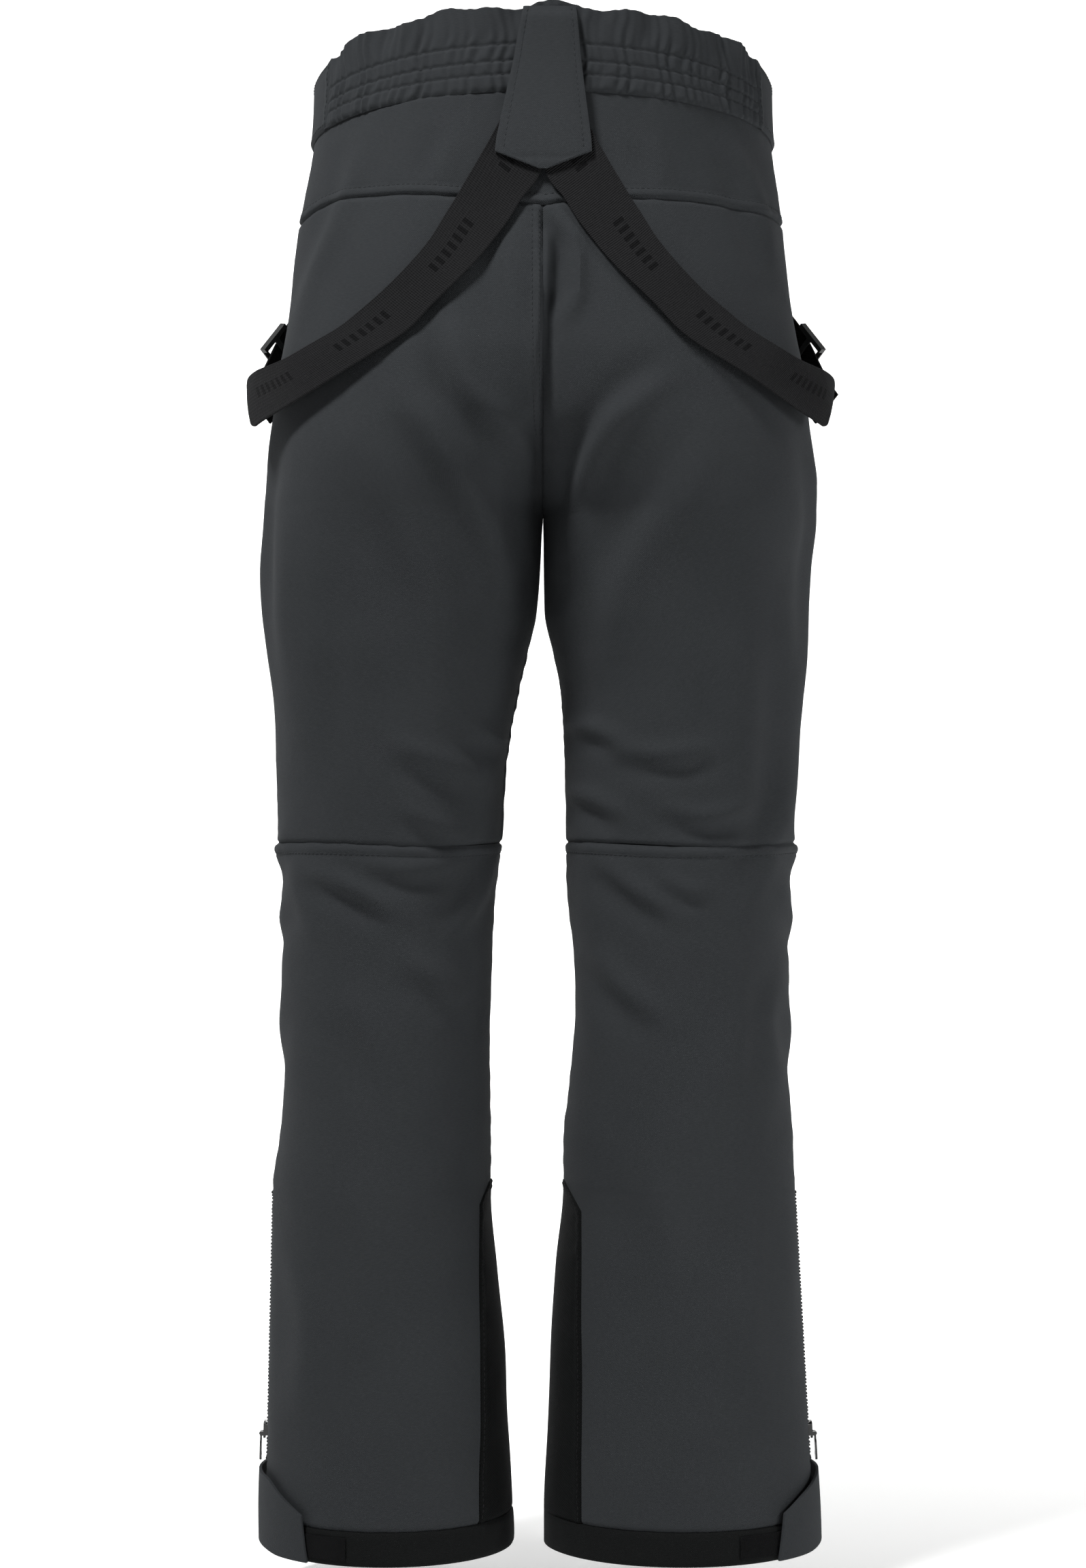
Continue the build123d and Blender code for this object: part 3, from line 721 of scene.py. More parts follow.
def mesh_object(name: str, verts: np.ndarray, quads: np.ndarray, uv: np.ndarray, finish: Finish,
                sharp: float = 50.0) -> bpy.types.Object:
    """Mesh object from points in millimetres and quads.

    Args:
        name: Name of the piece.
        verts: Points.
        quads: Four indices a face.
        uv: Cut coordinates of each face corner, in millimetres.
        finish: Its finish.
        sharp: Angle in degrees past which an edge stays sharp.

    Returns:
        The new object, at the origin.
    """
    if signed_volume(verts, quads) < 0:
        quads, uv = quads[:, ::-1], uv[:, ::-1]
    mesh = bpy.data.meshes.new(name)
    mesh.from_pydata((verts * MM).tolist(), [], quads.tolist())
    layer = mesh.uv_layers.new(name="cut")
    layer.data.foreach_set("uv", (uv * MM).astype(np.float32).ravel())
    mesh.polygons.foreach_set("use_smooth", [True] * len(mesh.polygons))
    mesh.set_sharp_from_angle(angle=math.radians(sharp))
    mesh.validate()
    mesh.update()
    mesh.materials.append(finish.material())
    return linked(name, mesh)


def shell(name: str, outer: np.ndarray, inner: np.ndarray, uv: np.ndarray, finish: Finish,
          mask: Optional[np.ndarray] = None, ring: bool = False, sharp: float = 50.0) -> bpy.types.Object:
    """Closed cloth between two grids of points.

    Args:
        name: Name of the piece.
        outer: Grid of outer points, rows by columns by 3.
        inner: Grid of inner points.
        uv: Grid of cut coordinates; one column more than the points on a ring.
        finish: Its finish.
        mask: Which cells of the grid are cloth; all, if left out.
        ring: Whether the last column joins the first.
        sharp: Angle past which an edge stays sharp.

    Returns:
        The new object.
    """
    rows, columns = outer.shape[:2]
    index = np.arange(rows * columns).reshape(rows, columns)
    if ring:
        index = np.concatenate([index, index[:, :1]], axis=1)
    corners = np.stack([index[:-1, :-1], index[:-1, 1:], index[1:, 1:], index[1:, :-1]], axis=-1)
    places = np.stack([uv[:-1, :-1], uv[:-1, 1:], uv[1:, 1:], uv[1:, :-1]], axis=2)
    if mask is None:
        mask = np.ones(corners.shape[:2], bool)
    quads, marks = corners[mask], places[mask]
    count = rows * columns
    starts, stops = quads.ravel(), np.roll(quads, -1, axis=1).ravel()
    keys, back = starts * count + stops, stops * count + starts
    edge = ~np.isin(keys, back)
    mark_a, mark_b = marks.reshape(-1, 2)[edge], np.roll(marks, -1, axis=1).reshape(-1, 2)[edge]
    a, b = starts[edge], stops[edge]
    walls = np.stack([b, a, a + count, b + count], axis=1)
    wall_uv = np.stack([mark_b, mark_a, mark_a + 1.5, mark_b + 1.5], axis=1)
    every = np.concatenate([quads, quads[:, ::-1] + count, walls])
    every_uv = np.concatenate([marks, marks[:, ::-1], wall_uv])
    verts = np.concatenate([outer.reshape(-1, 3), inner.reshape(-1, 3)])
    used, every = np.unique(every, return_inverse=True)
    return mesh_object(name, verts[used], every.reshape(-1, 4), every_uv, finish, sharp)


def facing_out(outer: np.ndarray, inner: np.ndarray) -> np.ndarray:
    """Unit normals of a grid of outer points, turned away from the inner ones."""
    normal = np.cross(np.gradient(outer, axis=1), np.gradient(outer, axis=0))
    normal /= np.maximum(np.linalg.norm(normal, axis=-1, keepdims=True), 1e-9)
    return normal * np.sign(np.einsum("ijk,ijk->ij", normal, outer - inner))[..., None]


def cut_map(across: np.ndarray, along: np.ndarray) -> np.ndarray:
    """Cut coordinates of a grid from its two measures."""
    return np.stack(np.broadcast_arrays(across, along), axis=-1)


def bevel(piece: bpy.types.Object, width: float, segments: int = 2) -> None:
    """Round a piece's sharp edges by a width in millimetres."""
    modifier = piece.modifiers.new("edges", "BEVEL")
    modifier.width = width * MM
    modifier.segments = segments
    modifier.limit_method = "ANGLE"
    modifier.angle_limit = math.radians(55)
    bpy.ops.object.select_all(action="DESELECT")
    bpy.context.view_layer.objects.active = piece
    piece.select_set(True)
    bpy.ops.object.modifier_apply(modifier=modifier.name)
    piece.select_set(False)


def sewn(piece: bpy.types.Object, nodes: Sequence[str], body: str = PANTS) -> None:
    """Put a finished piece on its body, in place of CAD nodes."""
    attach(piece, body)
    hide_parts(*nodes)
    log.info("%s: %d faces", piece.name, len(piece.data.polygons))


def sheet(name: str, grids: Sequence[np.ndarray], finish: Finish, node: str, flat: tuple, held: str,
          body: str = PANTS, rounded: float = 0.0, measures: Optional[dict] = None, **shape) -> None:
    """A cloth piece that stands for one CAD node.

    Args:
        name: Name of the piece.
        grids: Outer points, inner points and cut coordinates.
        finish: Its finish.
        node: The CAD node.
        flat: Width and length of the flat cut, in metres; not used.
        held: How the cloth is held; not used.
        body: The body that it rides on.
        rounded: Width of the bevel on its edges, in millimetres.
        measures: More measures of the cut; not used.
        **shape: Passed on to shell.
    """
    piece = shell(name, *grids, finish, **shape)
    if rounded:
        bevel(piece, rounded)
    sewn(piece, [node], body)


# ---------------------------------------------------------------- panels
@dataclass
class Panel:
    """A cut of cloth on one half: a grid of heights and angles, and its sewn edges."""

    side: Side
    face: Face
    height: np.ndarray
    angle: np.ndarray
    seams: dict = field(default_factory=dict)
    proud: float = 0.0
    thick: float = 2.8

    def __post_init__(self) -> None:
        """Lay the cut on the form and lift it."""
        turned = self.angle * self.face.value
        self.base = FORM.spot(self.side, self.height, turned)
        step_across = np.linalg.norm(np.diff(self.base, axis=1), axis=-1)
        step_down = np.linalg.norm(np.diff(self.base, axis=0), axis=-1)
        self.across = np.concatenate([np.zeros((len(self.base), 1)), np.cumsum(step_across, axis=1)], axis=1)
        self.down = np.concatenate([np.zeros((1, self.base.shape[1])), np.cumsum(step_down, axis=0)], axis=0)
        self.out = self.proud + DRAPE.lift(self.base, turned) + self.seam_lift()
        self.outer = FORM.spot(self.side, self.height, turned, self.out)
        self.inner = FORM.spot(self.side, self.height, turned, self.out - self.thick)
        origin = self.across[:, -1:] if self.face is Face.BACK else 0
        self.uv = np.stack([self.across - origin, -self.down], axis=-1)

    def distance(self, edge: str) -> np.ndarray:
        """Distance from one edge of the cut."""
        return {"start": self.across, "end": self.across[:, -1:] - self.across,
                "top": self.down, "bottom": self.down[-1:] - self.down}[edge]

    def seam_lift(self) -> np.ndarray:
        """Groove, raised allowance, stitch line and puckers along each sewn edge."""
        groove, allowance, stitch_dip, stitch_line = 1.7, 0.75, 0.5, 7.4
        total = np.zeros_like(self.across)
        for number, (edge, kind) in enumerate(self.seams.items()):
            away = self.distance(edge)
            along = self.down if edge in ("start", "end") else self.across
            total -= groove * np.exp(-((away / 1.6) ** 2))
            strength = 0.2 if kind is Seam.PLAIN else 0.4
            ripple = np.sin(along * math.tau / 13.0 + 2.6 * np.sin(along / 23.0 + number)) \
                * (0.55 + 0.45 * np.sin(along / 31.0 + number)) \
                + 0.6 * np.sin(along * math.tau / 29.0 + number * 2.0)
            total += strength * ripple * np.exp(-(((away - 4.0) / 7.0) ** 2))
            if kind is Seam.STITCHED:
                total += allowance * smoothstep(away, 0.6, 2.6) * (1 - smoothstep(away, 6.2, 8.2))
                total -= stitch_dip * np.exp(-(((away - stitch_line) / 1.2) ** 2))
        return total

    def line(self, edge: str, away: float) -> tuple[np.ndarray, np.ndarray]:
        """Points and outward normals along a line beside an edge.

        Args:
            edge: Which edge.
            away: Distance from it, in millimetres.

        Returns:
            Two arrays of three columns.
        """
        measure = self.distance(edge)
        grids = [self.outer, facing_out(self.outer, self.inner)]
        if edge in ("top", "bottom"):
            measure = measure.T
            grids = [np.swapaxes(grid, 0, 1) for grid in grids]
        order = slice(None, None, -1) if edge in ("end", "bottom") else slice(None)
        points, facing = [np.array([[np.interp(away, run[order], column[order]) for column in row.T]
                                    for run, row in zip(measure, grid)]) for grid in grids]
        return points, facing

    def area(self) -> float:
        """Area of the cut before folds, in square metres."""
        cell = np.cross(np.diff(self.base, axis=0)[:, :-1], np.diff(self.base, axis=1)[:-1])
        return float(np.linalg.norm(cell, axis=-1).sum()) * MM * MM

    def flat(self) -> tuple[float, float]:
        """Greatest width and length of the cut, in metres."""
        return float(self.across[:, -1].max()) * MM, float(self.down[-1].max()) * MM

    @property
    def grids(self) -> tuple[np.ndarray, np.ndarray, np.ndarray]:
        """Outer points, inner points and cut coordinates."""
        return self.outer, self.inner, self.uv


def joined(first: np.ndarray, second: np.ndarray) -> np.ndarray:
    """Two grids put side by side where the last column of each is the same line."""
    return np.concatenate([first, second[:, -2::-1]], axis=1)


def joined_cuts(first: Sequence[np.ndarray], second: Sequence[np.ndarray]) -> list[np.ndarray]:
    """Grids of two cuts as one cut, unfolded at the line that they share."""
    unfolded = second[2] * np.array([-1.0, 1.0])
    return [joined(first[0], second[0]), joined(first[1], second[1]), joined(first[2], unfolded)]


# ---------------------------------------------------------------- stitches
@dataclass
class Stitches:
    """Rows of sewing thread: short raised stitches along lines on the cloth."""

    name: str
    finish: Finish = Finish.THREAD
    long: float = 3.0
    pitch: float = 4.0
    wide: float = 0.42
    high: float = 0.34
    parts: list = field(default_factory=list)

    def along(self, points: np.ndarray, facing: np.ndarray) -> None:
        """Add one row of stitches.

        Args:
            points: Line on the cloth, in millimetres.
            facing: Its outward normals.
        """
        run = np.concatenate([[0.0], np.cumsum(np.linalg.norm(np.diff(points, axis=0), axis=1))])
        keep = np.concatenate([[True], np.diff(run) > 1e-6])
        run, points, facing = run[keep], points[keep], facing[keep]
        for at in np.arange(self.pitch, run[-1] - self.pitch / 2, self.pitch):
            ends = [np.array([np.interp(at + way * self.long / 2, run, points[:, k]) for k in range(3)])
                    for way in (-1, 1)]
            up = np.array([np.interp(at, run, facing[:, k]) for k in range(3)])
            self.parts.append((*ends, up / np.linalg.norm(up)))

    def build(self) -> None:
        """Make one mesh of all the stitches and put it on the pants."""
        sides, stations = 6, ((0.0, 0.35), (0.18, 0.9), (0.5, 1.0), (0.82, 0.9), (1.0, 0.35))
        ring = np.arange(sides) * math.tau / sides
        verts, quads = [], []
        for start, stop, up in self.parts:
            along = stop - start
            across = np.cross(along, up)
            across /= np.linalg.norm(across)
            first = len(verts) * sides * len(stations)
            rows = [start + along * share + size * (np.cos(ring)[:, None] * across * self.wide
                                                    + np.sin(ring)[:, None] * up * self.high)
                    + up * (0.1 - 0.3 * (abs(share - 0.5) > 0.45)) for share, size in stations]
            verts.append(np.concatenate(rows))
            for r in range(len(stations) - 1):
                for c in range(sides):
                    a, b = first + r * sides + c, first + r * sides + (c + 1) % sides
                    quads.append((a, b, b + sides, a + sides))
            last = first + (len(stations) - 1) * sides
            for base, order in ((first, 1), (last, -1)):
                quads.append(tuple(base + k for k in (0, 3, 2, 1))[::order])
                quads.append(tuple(base + k for k in (0, 5, 4, 3))[::order])
        points, faces = np.concatenate(verts), np.array(quads)
        uv = points[faces][..., [0, 2]]
        piece = mesh_object(self.name, points, faces, uv, self.finish, 80.0)
        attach(piece, PANTS)
        log.info("%s: %d stitches", self.name, len(self.parts))


# ---------------------------------------------------------------- trousers
YOKE_SEAM = {
    Side.LEFT: ((0, -99), (0.15, -97), (0.36, -90), (0.6, -91), (0.88, -98), (1, -102)),
    Side.RIGHT: ((0, -99), (0.3, -97.5), (0.6, -95), (0.85, -97.5), (1, -102)),
}


def yoke_height(side: Side, share: np.ndarray) -> np.ndarray:
    """Height of the yoke seam at a share of the way from the side to the middle."""
    table = np.array(YOKE_SEAM[side], float)
    return smooth_through(table[:, 0], table[:, 1], share)


def knee_height(side: Side, share: np.ndarray) -> np.ndarray:
    """Height of the knee seam, a little wavy as sewn cloth hangs."""
    drop = 1.6 * np.sin(share * 7.0 + (0 if side is Side.LEFT else 2.0))
    return KNEE_SEAM + drop * np.sin(np.pi * share)


@dataclass
class Trousers:
    """Shell panels of the seat and the legs, with kick patches and hem bands."""

    step: float = 3.6
    half_seat: float = 235.0
    under_band: float = 1.8
    thick: float = 2.8
    slot_half: float = 8.0
    kick_top: dict = field(default_factory=lambda: {Side.LEFT: (-782.0, 38.0, -796.0, 45.0),
                                                   Side.RIGHT: (-781.0, 15.0, -800.0, 27.0)})
    kick_least: float = 0.10
    panels: dict = field(default_factory=dict)

    def slot(self, height: np.ndarray, low: float, high: float, ease: float = 5.0) -> np.ndarray:
        """1 where a zip's slot is open, 0 outside it."""
        return smoothstep(height, low - ease, low) * (1 - smoothstep(height, high, high + ease))

    def start_angle(self, side: Side, face: Face, height: np.ndarray) -> np.ndarray:
        """Outer edge of a panel: the side seam, or the edge of the leg zip's slot."""
        depth = -(2 + face.value * self.slot_half) * self.slot(height, *LEG_ZIP)
        return face.value * FORM.side_angle(side, height, depth)

    def end_angle(self, side: Side, face: Face, height: np.ndarray) -> np.ndarray:
        """Inner edge of a panel: the middle or inner seam, or the fly's edge."""
        open_front = self.slot_half if face is Face.FRONT else 0.0
        return FORM.middle_angle(side, face, height, open_front * self.slot(height, *FLY_ZIP))

    def panel(self, side: Side, face: Face, top: np.ndarray, bottom: np.ndarray, across: np.ndarray,
              down: np.ndarray, seams: dict, **sizes: float) -> Panel:
        """A panel between the side and the middle.

        Args:
            side: Which half.
            face: Back or front.
            top: Height of the upper edge, at each column.
            bottom: Height of the lower edge, at each column.
            across: Shares of the columns.
            down: Shares of the rows.
            seams: Kind of seam at each edge.
            **sizes: Passed on to the panel.

        Returns:
            The panel.
        """
        height = top[None] + (bottom - top)[None] * down[:, None]
        return self.between(side, face, height, across, seams, **sizes)

    def between(self, side: Side, face: Face, height: np.ndarray, across: np.ndarray, seams: dict,
                **sizes: float) -> Panel:
        """A panel from the side to the middle, at the heights of a grid."""
        start, end = self.start_angle(side, face, height), self.end_angle(side, face, height)
        sizes.setdefault("thick", self.thick)
        return Panel(side, face, height, start + (end - start) * across[None], seams, **sizes)

    def yoke(self) -> None:
        """Back yoke, one piece across both halves."""
        across = seam_steps(self.half_seat, self.step, end=False)
        top = np.full_like(across, BAND_SEAM + self.under_band)
        seams = {"start": Seam.PLAIN, "bottom": Seam.STITCHED, "top": Seam.PLAIN}
        down = seam_steps(56, 2.6)
        left, right = [self.panel(side, Face.BACK, top, yoke_height(side, across), across, down, seams)
                       for side in Side]
        width, length = 2 * left.flat()[0], left.flat()[1]
        area = min(left.area() + right.area(), width * length)
        sheet("yoke_cloth", joined_cuts(left.grids, right.grids), Finish.SHELL, "back_yoke", (width, length),
              "stretched", measures={"rests_on": ["lining_left_cloth"], "area": area})
        self.panels["yoke_left"], self.panels["yoke_right"] = left, right

    def shell_sheet(self, node: str, finish: Finish, panels: Sequence[Panel], grids: Sequence[np.ndarray],
                    **shape) -> None:
        """A hanging piece of one or two panels; the size of its flat cut is worked out but not used."""
        width = max(panel.flat()[0] for panel in panels) * len(panels)
        length = max(panel.flat()[1] for panel in panels)
        area = min(sum(panel.area() for panel in panels), width * length)
        sheet(node + "_cloth", grids, finish, node, (width, length), "hung", measures={"area": area}, **shape)

    def back_thigh(self, side: Side) -> None:
        """Back of the seat and thigh."""
        across, down = seam_steps(self.half_seat, self.step), seam_steps(450, self.step)
        seams = {"start": Seam.PLAIN, "end": Seam.STITCHED if side is Side.LEFT else Seam.PLAIN,
                 "top": Seam.PLAIN, "bottom": Seam.PLAIN}
        top, bottom = yoke_height(side, across), knee_height(side, across)
        panel = self.panel(side, Face.BACK, top, bottom, across, down, seams)
        name = f"{side.label}_back_thigh"
        self.shell_sheet(name, Finish.SHELL, [panel], panel.grids)
        self.panels[name] = panel

    def front_thigh(self, side: Side) -> None:
        """Front of the hip and thigh, with the slot of the pocket zip."""
        low, high = POCKET_ZIP
        above, beside, below = BAND_SEAM - high, high - low, low - KNEE_SEAM
        rows = np.concatenate([seam_steps(above, 3.0, end=False) * above,
                               above + np.linspace(0, beside, 42)[1:],
                               above + beside + seam_steps(below, self.step, start=False)[1:] * below])
        height = BAND_SEAM - rows
        down = rows / rows[-1]
        line = np.radians(np.interp(height, POCKET_ZIP, POCKET_TURN))
        half = self.slot_half / 128
        start = self.start_angle(side, Face.FRONT, height[:, None])
        end = self.end_angle(side, Face.FRONT, height[:, None])
        first, last = seam_steps(118, self.step), seam_steps(120, self.step)
        near, far = (line - half)[:, None], (line + half)[:, None]
        angle = np.concatenate([start + (near - start) * first[None], far + (end - far) * last[None]], axis=1)
        across = np.concatenate([first * 0.5, 0.5 + last * 0.5])
        fall = (knee_height(side, across) - KNEE_SEAM)[None] * (down[:, None] ** 3)
        seams = {"start": Seam.PLAIN, "end": Seam.PLAIN, "top": Seam.PLAIN, "bottom": Seam.PLAIN}
        panel = Panel(side, Face.FRONT, height[:, None] + fall, angle, seams, thick=self.thick)
        mask = np.ones((len(height) - 1, angle.shape[1] - 1), bool)
        middle = (height[:-1] + height[1:]) / 2
        mask[(middle < high) & (middle > low), len(first) - 1] = False
        name = f"{side.label}_front_thigh"
        self.shell_sheet(name, Finish.SHELL, [panel], panel.grids, mask=mask)
        self.panels[name] = panel

    def calf(self, side: Side, face: Face) -> Panel:
        """Calf panel on one face; its part of the kick patch is returned."""
        top, top_x, corner, side_x = self.kick_top[side]
        tall = corner - HEM_TOP
        height = np.concatenate([KNEE_SEAM - seam_steps(240, self.step, end=False) * (KNEE_SEAM - top),
                                 np.linspace(top, corner, 6)[1:],
                                 corner - seam_steps(tall, self.step, start=False)[1:] * tall])
        share = np.clip((height - corner) / (top - corner), 0, 1)
        column = height[:, None]
        edge = FORM.across_angle(side, column, (side_x + (top_x - side_x) * share)[:, None])
        start, end = self.start_angle(side, face, column), self.end_angle(side, face, column)
        above = np.minimum(FORM.across_angle(side, np.array([[top]]), np.array([[top_x]])),
                           self.end_angle(side, face, np.array([[top]])) - self.kick_least)
        edge = np.minimum(np.where(column > top, above, edge), end - self.kick_least)
        first, last = seam_steps(190, self.step), seam_steps(34, 3.0)
        angle = np.concatenate([start + (edge - start) * first[None],
                                (edge + (end - edge) * last[None])[:, 1:]], axis=1)
        across = np.concatenate([first * 0.85, 0.85 + last[1:] * 0.15])
        fade = np.clip((column - KNEE_SEAM + 100) / 100, 0, 1) ** 2
        fall = (knee_height(side, across) - KNEE_SEAM)[None] * fade
        seams = {"start": Seam.PLAIN, "end": Seam.PLAIN, "top": Seam.STITCHED, "bottom": Seam.PLAIN}
        panel = Panel(side, face, column + fall, angle, seams, thick=self.thick)
        row = int(np.argmax((height[:-1] + height[1:]) / 2 < top))
        edge_column = len(first) - 1
        mask = np.ones((len(height) - 1, angle.shape[1] - 1), bool)
        mask[row:, edge_column:] = False
        name = f"{side.label}_{face.name.lower()}_calf"
        self.shell_sheet(name, Finish.SHELL, [panel], panel.grids, mask=mask)
        kick = Panel(side, face, panel.height[row:, edge_column:], panel.angle[row:, edge_column:],
                     {"start": Seam.STITCHED, "top": Seam.STITCHED, "bottom": Seam.PLAIN}, proud=0.4,
                     thick=self.thick)
        self.panels[name] = panel
        self.panels[f"{side.label}_kick_{face.name.lower()}"] = kick
        return kick

    def legs(self, side: Side) -> None:
        """Both calf panels, the kick patch between them and the hem band."""
        back, front = [self.calf(side, face) for face in (Face.BACK, Face.FRONT)]
        self.shell_sheet(f"{side.label}_kick_patch", Finish.HEAVY, [back, front],
                         joined_cuts(back.grids, front.grids))
        self.hem(side)

    def hem(self, side: Side) -> None:
        """Hem band, folded round the lower edge."""
        turns = np.radians(np.linspace(0, 360, 181)[:-1])
        rise = np.array([0.0, 0.8, 2.0, 4.5, 8.0, 12.0, 16.0, 20.0, 22.4, 23.5, 24.0])
        tall, radius = HEM_TOP - HEM_END, 92.0
        height, angle = np.meshgrid(HEM_TOP - rise, turns, indexing="ij")
        along, down = angle * radius, rise[:, None]
        puffs = 0.25 * np.sin(along / 4.1 + np.sin(along / 17.0)) * np.sin(np.pi * down / tall)
        edge = -1.3 * np.exp(-((down / 1.2) ** 2)) - 1.2 * smoothstep(down, 21.5, 24.2)
        stitch = -0.45 * np.exp(-(((down - 18.5) / 1.1) ** 2))
        out = 0.55 + puffs + edge + stitch
        outer = FORM.spot(side, height, angle, out)
        inner = FORM.spot(side, height, angle, np.minimum(out, 0.4) - 3.0 + smoothstep(down, 22, 24))
        uv = cut_map(np.append(along[0], math.tau * radius)[None], -down)
        round_leg = float(np.linalg.norm(np.diff(outer[5], axis=0), axis=1).sum()) * MM
        name = f"{side.label}_hem_band"
        sheet(name + "_cloth", (outer, inner, uv), Finish.HEM, name, (round_leg, tall * MM), "stretched",
              ring=True)

    def stitching(self) -> None:
        """Topstitching along the seams that have it."""
        grey = Stitches("topstitching")
        black = Stitches("patch_stitching", Finish.BLACK_THREAD)
        for side in Side:
            grey.along(*self.panels[f"yoke_{side.label}"].line("bottom", 7.4))
            for face in ("back", "front"):
                grey.along(*self.panels[f"{side.label}_{face}_calf"].line("top", 7.4))
                patch = self.panels[f"{side.label}_kick_{face}"]
                black.along(*patch.line("start", 3.2))
                black.along(*patch.line("top", 3.2))
        seat = self.panels["left_back_thigh"]
        for away in (2.6, 7.4):
            points, facing = seat.line("end", away)
            keep = points[:, 2] > -262
            grey.along(points[keep], facing[keep])
        grey.build()
        black.build()

    def build(self) -> None:
        """All the shell."""
        self.yoke()
        for side in Side:
            self.back_thigh(side)
            self.front_thigh(side)
            self.legs(side)
        self.stitching()


@dataclass
class Lining:
    """Inner sleeve of each leg, from the waistband to the hem."""

    gap: float = 4.6
    behind_pockets: float = 2.2
    thick: float = 0.9
    top: float = -40.0
    bottom: float = -1019.0

    def build(self) -> None:
        """Both sleeves."""
        trousers = Trousers()
        across, down = np.linspace(0, 1, 34), np.linspace(0, 1, 141)
        height = self.top + (self.bottom - self.top) * down[:, None] + 0 * across[None]
        proud = -self.gap - self.behind_pockets * smoothstep(height, -250, -218)
        for side in Side:
            back, front = [trousers.between(side, face, height, across, {}, proud=proud, thick=self.thick)
                           for face in (Face.BACK, Face.FRONT)]
            grids = [np.concatenate([near, far[:, ::-1]], axis=1)
                     for near, far in zip(back.grids, front.grids)]
            mask = np.ones((len(down) - 1, 2 * len(across) - 1), bool)
            mask[:, len(across) - 1] = False
            sheet(f"lining_{side.label}_cloth", grids, Finish.LINING, f"{side.label}_lining",
                  (2 * back.flat()[0], back.flat()[1]), "hung", measures={"area": back.area() + front.area()},
                  mask=mask)


